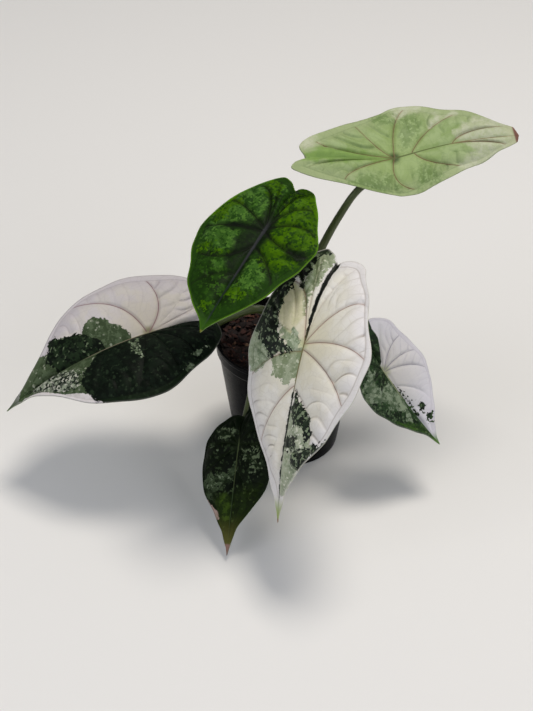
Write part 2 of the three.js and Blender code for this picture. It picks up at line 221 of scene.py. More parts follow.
# each leaf's own: its left half first, then its right half, by the vein's place in the list above
ownVeins = {
    "front": (
        {2: (0, 0.61, -0.8, 3.92, 1), 3: (0, 0.68, -0.15, 5, 1), 4: (0.03, 0.6, 0.11, 6.37, 1),
         5: (0.25, 0.43, 0.32, 7.68, 0.9)},
        {2: (0, 0.2, -0.8, 3.6, 1), 3: (0, 0.43, -0.19, 4.4, 0.7), 4: (0.04, 0.54, 0.07, 6.04, 1),
         5: (0.23, 0.39, 0.38, 7.79, 1)},
    ),
    "left": (
        {3: (0, 0.57, -0.24, 4.4, 0.8), 4: (0.02, 0.59, 0.08, 5.8, 0.8), 5: (0.27, 0.4, 0.33, 6.9, 0.7)},
        {2: (0, 0.2, -0.6, 3.4, 0.35), 3: (0, 0.32, -0.43, 4.47, 1), 4: (0.01, 0.7, 0.08, 6.7, 1),
         5: (0.21, 0.3, 0.33, 7.6, 0.5)},
    ),
    "back": (
        {1: (0, 0.12, -0.95, 2.4, 0.8), 2: (0, 0.2, -0.6, 3.5, 1), 3: (0, 0.56, -0.3, 4.6, 1),
         4: (0.02, 0.64, 0.22, 5.4, 1), 5: (0.18, 0.38, 0.25, 7.3, 1)},
        {2: (0, 0.21, -0.83, 3.12, 1), 3: (0, 0.6, -0.38, 4.1, 1), 4: (0.02, 0.59, 0.05, 5.4, 1),
         5: (0.15, 0.3, 0.46, 6.5, 1), 6: (0.46, 0.26, 0.46, 8.2, 0.8)},
    ),
    "right": (
        {1: (0, 0.14, -0.45, 2.4, 0.8), 2: (0, 0.41, -0.44, 4, 1), 4: (0.01, 0.6, 0.05, 6.22, 1),
         5: (0.2, 0.5, 0.34, 7.84, 0.8)},
        {},
    ),
    "low": ({}, {}),
    "top": (
        {1: (0, 0.2, -0.95, 2.8, 1), 2: (0, 0.1, -0.14, 3.98, 1), 3: (0, 0.84, 0.05, 5.84, 1),
         4: (0.14, 0.44, 0.28, 7.83, 1), 5: (0.3, 0.3, 0.4, 8.8, 0.1), 6: (0.46, 0.21, 0.51, 9.78, 1),
         7: (0.68, 0.08, 0.76, 10.3, 0.1)},
        {1: (0, 0.05, -0.95, 2.5, 0.8), 2: (0, 0.29, -0.59, 3.61, 1), 3: (0, 0.74, -0.14, 5.73, 1),
         4: (0.16, 0.39, 0.22, 7.59, 1), 5: (0.3, 0.28, 0.45, 8.6, 0.1), 6: (0.46, 0.07, 0.8, 9.56, 1),
         7: (0.7, 0.03, 0.88, 10.3, 0.1)},
    ),
}

blade = {
    "thickness": 0.55,
    "ribThickness": 1.7,  # of the ribs that stand out underneath
    "seatDepth": 2.6,  # where the stalk joins
    "seatRadius": 3.2,
    "edgeRound": 0.45,  # of the thickness, by which the rounded edge stands out
    "veinDepth": 0.75,
    "veinWidth": 1.2,
    "veinEndWidth": 0.7,  # by the edge
    "midribWidth": 2.0,
    "midribTaper": 0.4,  # what is left of that width at the tip
    "faintAway": 3,  # how much further off the faintest vein counts than it is
    "ribFade": 1.6,  # the ribs fade out over the last 1 / 1.6 of the midrib
    "puff": 2.4,  # how far the quilted panels rise between the veins
    "crease": 0.2,  # of the panel's width, over which a puff falls to its vein
    "faintCrease": 0.35,  # how deep the crease is at the faintest vein
    "flatByStalk": 0.5,  # of the way to the edge, over which the puffs by the stalk rise
    "fullRelief": 0.5,  # of half the width, how long a row is that has its full relief
    "scaleSpacing": 8.5,  # between the arcs that make the scales, round each vein's outer end
    "scaleUneven": (0.88, 1.15),
    "scaleArcs": 10,  # round one end, at most
    "scaleWander": 0.8,
    "scaleDepth": 2.2,
    "scaleSteep": 0.1,  # of the spacing, inside an arc, where the scale's rim falls away
    "scaleGentle": 0.34,  # of the spacing, outside it
    "rim": 4.2,  # the smooth band outside the vein that follows the edge
    "rimSoft": 1.5,
    "rimFall": 9,  # over which a puff falls to the band
    "rimVeinDepth": 0.35,  # of the vein between the puffs and the band
    "rimVeinWidth": 1.1,
    "edgeWave": 0.7,
    "edgeWaves": 4,
    "bulgeSpacing": 1.3,  # in outline points
    "bluntShare": 0.3,  # what is left of the length of a blunt tip
    "panelRows": 28,
    "columns": 56,
}
smallReach = 80  # a leaf that reaches less than this has finer puffs and scales, and fewer faces
smallBlade = {
    **blade,
    "puff": 1.3, "scaleSpacing": 5.6, "scaleDepth": 0.8, "rim": 2.6, "panelRows": 20, "columns": 38,
}


def veinPlan(name, side):
    own = ownVeins[name][0 if side == 1 else 1]
    return np.array([own.get(number, vein) for number, vein in enumerate(veins)], dtype=float)


def outlineAt(leaf, side, to):
    # Catmull-Rom through the half outline: x across, y towards the tip
    half = leaf["half"] * (1 + side * leaf["skew"])
    lobe = leaf["lobe"] * (1 + side * leaf["lobeSkew"])
    notch = leaf["notch"] * leaf["lobe"]
    reach, shoulder, full = leaf["reach"], leaf["shoulder"], leaf["tipFull"]
    points = np.array([  # from the seam between the lobes, round to the tip
        (0, -notch),
        (0.16 * half, -0.5 * (notch + lobe) - 0.05 * lobe),
        (0.62 * shoulder * half, -lobe),
        (shoulder * half, -0.76 * lobe),
        ((0.52 + 0.48 * shoulder) * half, -0.36 * lobe),
        (half, 0.05 * reach),
        (0.95 * half, 0.25 * reach),
        (0.77 * half, 0.45 * reach),
        (0.5 * half * (0.5 + 0.5 * full), 0.64 * reach),
        (0.25 * half * full, 0.79 * reach),
        (0.08 * half * full * leaf["tipWidth"], 0.91 * reach),
        (0, reach),
    ])
    last = len(points) - 2
    points = np.vstack([2 * points[0] - points[1], points, 2 * points[-1] - points[-2]])
    index = np.clip(np.floor(to), 0, last).astype(int)
    t = (to - index)[..., None]
    a, b, c, d = (points[index + step] for step in range(4))
    bend = (2 * a - 5 * b + 4 * c - d) * t ** 2 + (3 * b - a - 3 * c + d) * t ** 3
    return 0.5 * (2 * b + (c - a) * t + bend)


def pressTip(leaf, y):
    start = leaf["bluntFrom"] * leaf["reach"]
    return np.where(y > start, mix(start, y, blade["bluntShare"]), y)


def veinCurve(leaf, side, plan, q, u):
    # flat point at share u of the way from the midrib to the edge, on the row q: whole rows are veins
    index = np.clip(np.floor(q), 0, panels - 1).astype(int)
    t = q - index
    along = np.where(plan[:, 2] > 0, leaf["reach"], leaf["lobe"])
    bends = np.stack([plan[:, 1] * leaf["half"] * (1 + side * leaf["skew"]), plan[:, 2] * along], axis=-1)
    start = mix(plan[index, 0], plan[index + 1, 0], t) * leaf["reach"]
    edge = outlineAt(leaf, side, mix(plan[index, 3], plan[index + 1, 3], t))
    bend = mix(bends[index], bends[index + 1], t[..., None])
    x = 2 * u * (1 - u) * bend[..., 0] + u * u * edge[..., 0]
    y = (1 - u) ** 2 * start + 2 * u * (1 - u) * bend[..., 1] + u * u * edge[..., 1]
    length = np.hypot(edge[..., 0], edge[..., 1] - start)
    return x, pressTip(leaf, y), length


def leafAxes(leaf):
    heading, pitch, roll = (math.radians(leaf[name]) for name in ("heading", "pitch", "roll"))
    level = np.array([-math.sin(heading), math.cos(heading), 0])
    tip = np.array([math.cos(pitch) * level[1], -math.cos(pitch) * level[0], -math.sin(pitch)])
    upright = np.cross(tip, level)
    left = level * math.cos(roll) + upright * math.sin(roll)
    up = upright * math.cos(roll) - level * math.sin(roll)
    return tip, left, up


def placeOnBlade(leaf, x, y, lift):
    # flat x and y and a height above the sheet, to the folded and drooping blade in space
    tip, left, up = leafAxes(leaf)
    ahead = math.radians(leaf["droop"]) / leaf["reach"]
    behind = math.radians(leaf["lobeDroop"]) / leaf["lobe"]
    bend = np.where(y > 0, ahead, behind)
    bend = np.where(np.abs(bend) < 1e-9, 1e-9, bend)
    turn = bend * np.abs(y)
    fold, arch = math.radians(leaf["fold"]), math.radians(leaf["arch"])
    across = np.abs(x) / leaf["half"]
    flatHeight = leaf["half"] * (math.sin(fold) * across - 0.5 * arch * across ** 2)
    flatWidth = np.abs(x) * (1 - 0.5 * (fold - 0.5 * arch * across) ** 2)
    lean = (fold - arch * across) * np.minimum(1, across / 0.08)
    height = flatHeight + lift * np.cos(lean)
    width = np.sign(x) * (flatWidth - lift * np.sin(lean))
    twist = math.radians(leaf["twist"]) * y / leaf["reach"]
    bow = leaf["bow"] * np.sin(math.pi * np.clip(y / leaf["reach"], 0, 1))
    b = width * np.cos(twist) - height * np.sin(twist) + bow
    h = width * np.sin(twist) + height * np.cos(twist)
    a = np.sign(y) * (np.sin(turn) / bend + h * np.sin(turn))
    n = h * np.cos(turn) - (1 - np.cos(turn)) / bend
    return np.array(leaf["at"]) + a[..., None] * tip + b[..., None] * left + n[..., None] * up


def awayFrom(x, y, path):
    # millimetres from a path of flat points
    nearest = np.full(x.shape, 1e9)
    for (ax, ay), (bx, by) in zip(path[:-1], path[1:]):
        dx, dy = bx - ax, by - ay
        share = np.clip(((x - ax) * dx + (y - ay) * dy) / (dx * dx + dy * dy + 1e-12), 0, 1)
        nearest = np.minimum(nearest, (x - ax - share * dx) ** 2 + (y - ay - share * dy) ** 2)
    return np.sqrt(nearest)


def insideBy(x, y, corners):
    # millimetres inside an outline, negative outside it
    ring = [*corners, corners[0]]
    inside = np.zeros(x.shape, dtype=bool)
    for (ax, ay), (bx, by) in zip(ring[:-1], ring[1:]):
        crosses = (ay > y) != (by > y)
        inside ^= crosses & (x < ax + (y - ay) * (bx - ax) / (by - ay or 1e-12))
    return np.where(inside, 1, -1) * awayFrom(x, y, ring)


def patchDepth(leaf, x, y, outlines):
    # deepest of several patches, whose outlines are in shares of the leaf's half width and of reach or
    # lobe. A patch with corners on the midrib ends there in a clean line, as the leaf's two halves are
    # coloured apart.
    outside = -60.0
    deepest = np.full(x.shape, outside)
    for outline in outlines:
        corners = []
        lean = sum(across for across, _ in outline)
        oneSided = abs(lean) > 0.2 and any(across == 0 for across, _ in outline)
        for across, along in outline:
            side = 1 if across > 0 else -1
            length = leaf["reach"] if along > 0 else leaf["lobe"] * (1 + side * leaf["lobeSkew"])
            if oneSided and across == 0:
                across = math.copysign(0.15, -lean)
            corners.append((across * leaf["half"] * (1 + side * leaf["skew"]), along * length))
        beyondMidrib = oneSided & (x * lean < -1e-6)
        deepest = np.maximum(deepest, np.where(beyondMidrib, outside, insideBy(x, y, corners)))
    return deepest


def nearVeins(leaf, side, plan, x, y):
    # millimetres to the nearest vein, which counts as further off the fainter it is, and a point by the
    # outer end of each vein
    steps = 40
    nearest = np.full(x.shape, 60.0)
    ends = []
    for number in range(1, panels + 1):
        row = np.full(steps + 1, float(number))
        vx, vy, _ = veinCurve(leaf, side, plan, row, np.linspace(0, 1, steps + 1))
        byEnd = round(0.9 * steps)
        ends.append((vx[byEnd], vy[byEnd]))
        if number < panels:
            fainter = blade["faintAway"] * (1 - plan[number, 4])
            nearest = np.minimum(nearest, awayFrom(x, y, np.stack([vx, vy], axis=-1)) + fainter)
    return nearest, np.array(ends)


def scaleArcs(draw, shape, x, y, index, ends):
    # scales: arcs round the point where each panel's tipward vein runs into the one that follows the
    # edge. Gives how many spacings out a point is, the number of the arc nearest to it, and how strong
    # that arc is there.
    wander, uneven = (
        sum(np.sin(x * draw.uniform(0.06, 0.24) + y * draw.uniform(-0.24, 0.24) + draw.uniform(0, 6.3))
            for _ in range(4))
        for _ in range(2)
    )
    ends = ends[index]
    away = np.hypot(x - ends[..., 0], y - ends[..., 1]) + shape["scaleWander"] * wander
    spacing = np.array([draw.uniform(*shape["scaleUneven"]) for _ in range(panels)])[index]
    phase = away / (spacing * shape["scaleSpacing"])
    arcs = shape["scaleArcs"]
    nearest = np.clip(np.round(phase), 0, arcs - 1).astype(int)
    drawn = np.array([[draw.uniform(0.35, 1) for _ in range(arcs)] for _ in range(panels)])
    strengths = np.where(nearest == 0, 0, drawn[index, nearest]) * (1 - 0.75 * smoothStep(phase, 2.2, 4.5))
    return phase, nearest, strengths * np.clip(0.75 + 0.25 * uneven, 0.2, 1)


def bladeHalf(name, leaf, shape, side, seed):
    # one half of a blade as arrays: flat place, relief of both faces and what the material reads. On its
    # grid q counts the veins from the seam between the lobes to the tip, and u runs from the midrib to
    # the edge.
    draw = random.Random(seed)
    plan = veinPlan(name, side)
    rows = np.linspace(0, panels, panels * shape["panelRows"] + 1)
    q, u = np.meshgrid(rows, np.linspace(0, 1, shape["columns"] + 1), indexing="ij")
    x, y, length = veinCurve(leaf, side, plan, q, u)
    index = np.clip(np.floor(q), 0, panels - 1).astype(int)
    t = q - index
    # a row runs from start, a share of reach on the midrib, to an outline point
    start = mix(plan[index, 0], plan[index + 1, 0], t)
    to = mix(plan[index, 3], plan[index + 1, 3], t)
    # the two halves share their points on the midrib, though their veins leave it at places of their own
    shared = 0.5 * (veinPlan(name, 1)[:, 0] + veinPlan(name, -1)[:, 0])
    y[:, 0] = pressTip(leaf, np.interp(q[:, 0], np.arange(panels + 1), shared) * leaf["reach"])
    edgeLine = outlineAt(leaf, side, np.linspace(0, veins[-1][3], 170))
    edgeLine[:, 1] = pressTip(leaf, edgeLine[:, 1])
    edgeMm = awayFrom(x, y, edgeLine)
    rim = shape["rim"] * (0.85 + 0.35 * np.sin(1.4 * to + 1.7 * side + seed))
    veinMm, ends = nearVeins(leaf, side, plan, x, y)

    # the scales fade by the edge, the midrib, both veins of their panel, the tip and the seam between the
    # lobes
    phase, nearest, strengths = scaleArcs(draw, shape, x, y, index, ends)
    offEdge = smoothStep(edgeMm, rim, rim + shape["rimSoft"])
    offVeins = smoothStep(u, 0.2, 0.5) * smoothStep(t, 0.02, 0.2) * smoothStep(1 - t, 0, 0.06)
    offTip = 1 - 0.9 * smoothStep(to, 8.2, 9.4)
    offSeam = mix(0.15, 1, smoothStep(q, 0.7, 1.2))
    scaleShow = strengths * offEdge * offVeins * offTip * offSeam
    past = phase - nearest
    slope = np.where(past < 0, shape["scaleSteep"], shape["scaleGentle"])
    groove = scaleShow * np.exp(-(past / slope) ** 2)

    # each panel puffs up between its veins
    creases = mix(shape["faintCrease"], 1, plan[:, 4])
    byLast = creases[index] * np.exp(-t / shape["crease"])
    byNext = creases[index + 1] * np.exp(-(1 - t) / shape["crease"])
    dome = np.clip(1 - byLast - byNext, 0, 1) * np.sin(0.5 * math.pi * np.minimum(1, 1.6 * u))
    toBand = 1 - (1 - np.clip((edgeMm - rim) / shape["rimFall"], 0, 1)) ** 2
    toTip = mix(0.4, 1, 1 - smoothStep(to, 9.4, 11))
    puff = shape["puff"] * dome * toBand * toTip - shape["scaleDepth"] * groove
    clear = mix(smoothStep(u, 0, shape["flatByStalk"]), 1, np.minimum(1, 4 * start))

    # the waved edge, the ribs, and a shallow line along the band
    around = to / veins[-1][3]
    offEnds = np.sqrt(np.clip(np.sin(math.pi * around), 0, 1))
    wave = shape["edgeWave"] * u ** 4 * offEnds * np.sin(2 * math.pi * shape["edgeWaves"] * around + side)
    tipward = np.clip(y / leaf["reach"], 0, 1)
    lateral = (1 - u * u) * np.exp(-(veinMm / mix(shape["veinWidth"], shape["veinEndWidth"], u)) ** 2)
    midrib = np.exp(-(x / (shape["midribWidth"] * mix(1, shape["midribTaper"], tipward))) ** 2)
    rib = np.minimum(1, shape["ribFade"] * (1 - start)) * np.maximum(lateral, midrib)
    rimVein = shape["rimVeinDepth"] * np.exp(-((edgeMm - rim) / shape["rimVeinWidth"]) ** 2) * offEnds
    relief = np.minimum(1, length / (shape["fullRelief"] * leaf["half"]))
    lift = relief * (clear * puff + wave) - shape["veinDepth"] * rib - rimVein * relief * (1 - rib)
    seat = np.exp(-(x ** 2 + y ** 2) / shape["seatRadius"] ** 2)
    thickness = mix(mix(shape["thickness"], shape["ribThickness"], rib), shape["seatDepth"], seat)
    swell = offEnds * np.sin(2 * math.pi * to / shape["bulgeSpacing"] + seed) - 0.3
    bulge = leaf["edgeBulge"] * relief * u ** 3 * swell

    # veins are drawn finer towards the edge and fade in the band, and the midrib is drawn finer towards
    # the tip
    return {
        "x": side * (x + bulge * smoothStep(x, 0, 6)),
        "y": y,
        "lift": lift,
        "under": lift - thickness,
        "veinMm": veinMm * (1 + 0.5 * u) + 3 * (1 - smoothStep(edgeMm, rim - 0.8, rim + 0.2)),
        "ribMm": x * (1 + 1.6 * tipward),
        "edgeMm": edgeMm,
        "bandMm": np.where(offEnds > 0.35, edgeMm - rim, 6),
        "scalePhase": phase,
        "scaleShow": scaleShow,
    }


def bladePiece(name, leaf, look, seed):
    shape = smallBlade if leaf["reach"] < smallReach else blade
    halves = [bladeHalf(name, leaf, shape, side, seed + side) for side in (1, -1)]
    fields = {key: np.concatenate([half[key].ravel() for half in halves]) for key in halves[0]}

    # points that lie on each other at the stalk, the seam, the midrib and the tip become one
    flat = np.round(np.stack([fields["x"], fields["y"]], axis=-1), 4) + 0.0
    _, first, ids = np.unique(flat, axis=0, return_index=True, return_inverse=True)
    ids = ids.ravel()
    fields = {key: values[first] for key, values in fields.items()}
    x, y = fields["x"], fields["y"]
    count = len(first)
    top = placeOnBlade(leaf, x, y, fields["lift"])
    under = placeOnBlade(leaf, x, y, fields["under"])

    faces, slots, edges = [], [], {}
    for side, grid in zip((1, -1), np.split(ids, 2)):
        grid = grid.reshape(-1, shape["columns"] + 1)
        quads = np.stack([grid[:-1, :-1], grid[:-1, 1:], grid[1:, 1:], grid[1:, :-1]], axis=-1)
        quads = quads.reshape(-1, 4)
        upward = quads[:, ::-1] if side == 1 else quads
        for slot, shift, wound in ((0, 0, upward), (1, count, upward[:, ::-1])):
            for quad in wound.tolist():
                corners = list(dict.fromkeys(quad))
                if len(corners) > 2:
                    faces.append([corner + shift for corner in corners])
                    slots.append(slot)
        edge = grid[:, -1].tolist()
        edges[side] = edge if side == 1 else edge[::-1]

    # a rounded edge between the two faces, right round the blade
    loop = edges[1] + edges[-1][1:-1]
    middle = 0.5 * (top[loop] + under[loop])
    ahead, behind = np.roll(top[loop], -1, axis=0), np.roll(top[loop], 1, axis=0)
    outward = np.cross(top[loop] - under[loop], ahead - behind)
    outward /= np.linalg.norm(outward, axis=1, keepdims=True) + 1e-12
    middle = middle - shape["edgeRound"] * shape["thickness"] * outward
    for i, corner in enumerate(loop):
        j = (i + 1) % len(loop)
        a, b = corner, loop[j]
        if a == b:
            continue
        faces.append([a, b, 2 * count + j, 2 * count + i])
        faces.append([2 * count + i, 2 * count + j, b + count, a + count])
        slots += [0, 1]

    skins = (("Skin", 0), ("Underside", leafTexture["underShare"]))
    materials = [leafMaterial(name + skin, look, underShare) for skin, underShare in skins]
    piece = newPiece(f"{name}Leaf", np.vstack([top, under, middle]), faces, materials, slots)
    order = np.concatenate([np.arange(count), np.arange(count), np.array(loop)])
    leafMm = np.stack([x, y, np.full(count, leafTexture["ownNoise"] * seed)], axis=-1)
    addAttribute(piece, "leafMm", leafMm[order])
    addAttribute(piece, "fromStalkMm", np.hypot(x, y)[order])
    addAttribute(piece, "alongLeaf", (y / leaf["reach"])[order])
    for key in ("veinMm", "ribMm", "edgeMm", "bandMm", "scalePhase", "scaleShow"):
        addAttribute(piece, key, fields[key][order])
    for key, coat in look["coats"].items():
        if "patches" in coat:
            addAttribute(piece, f"{key}Depth", patchDepth(leaf, x, y, coat["patches"])[order])
    return piece
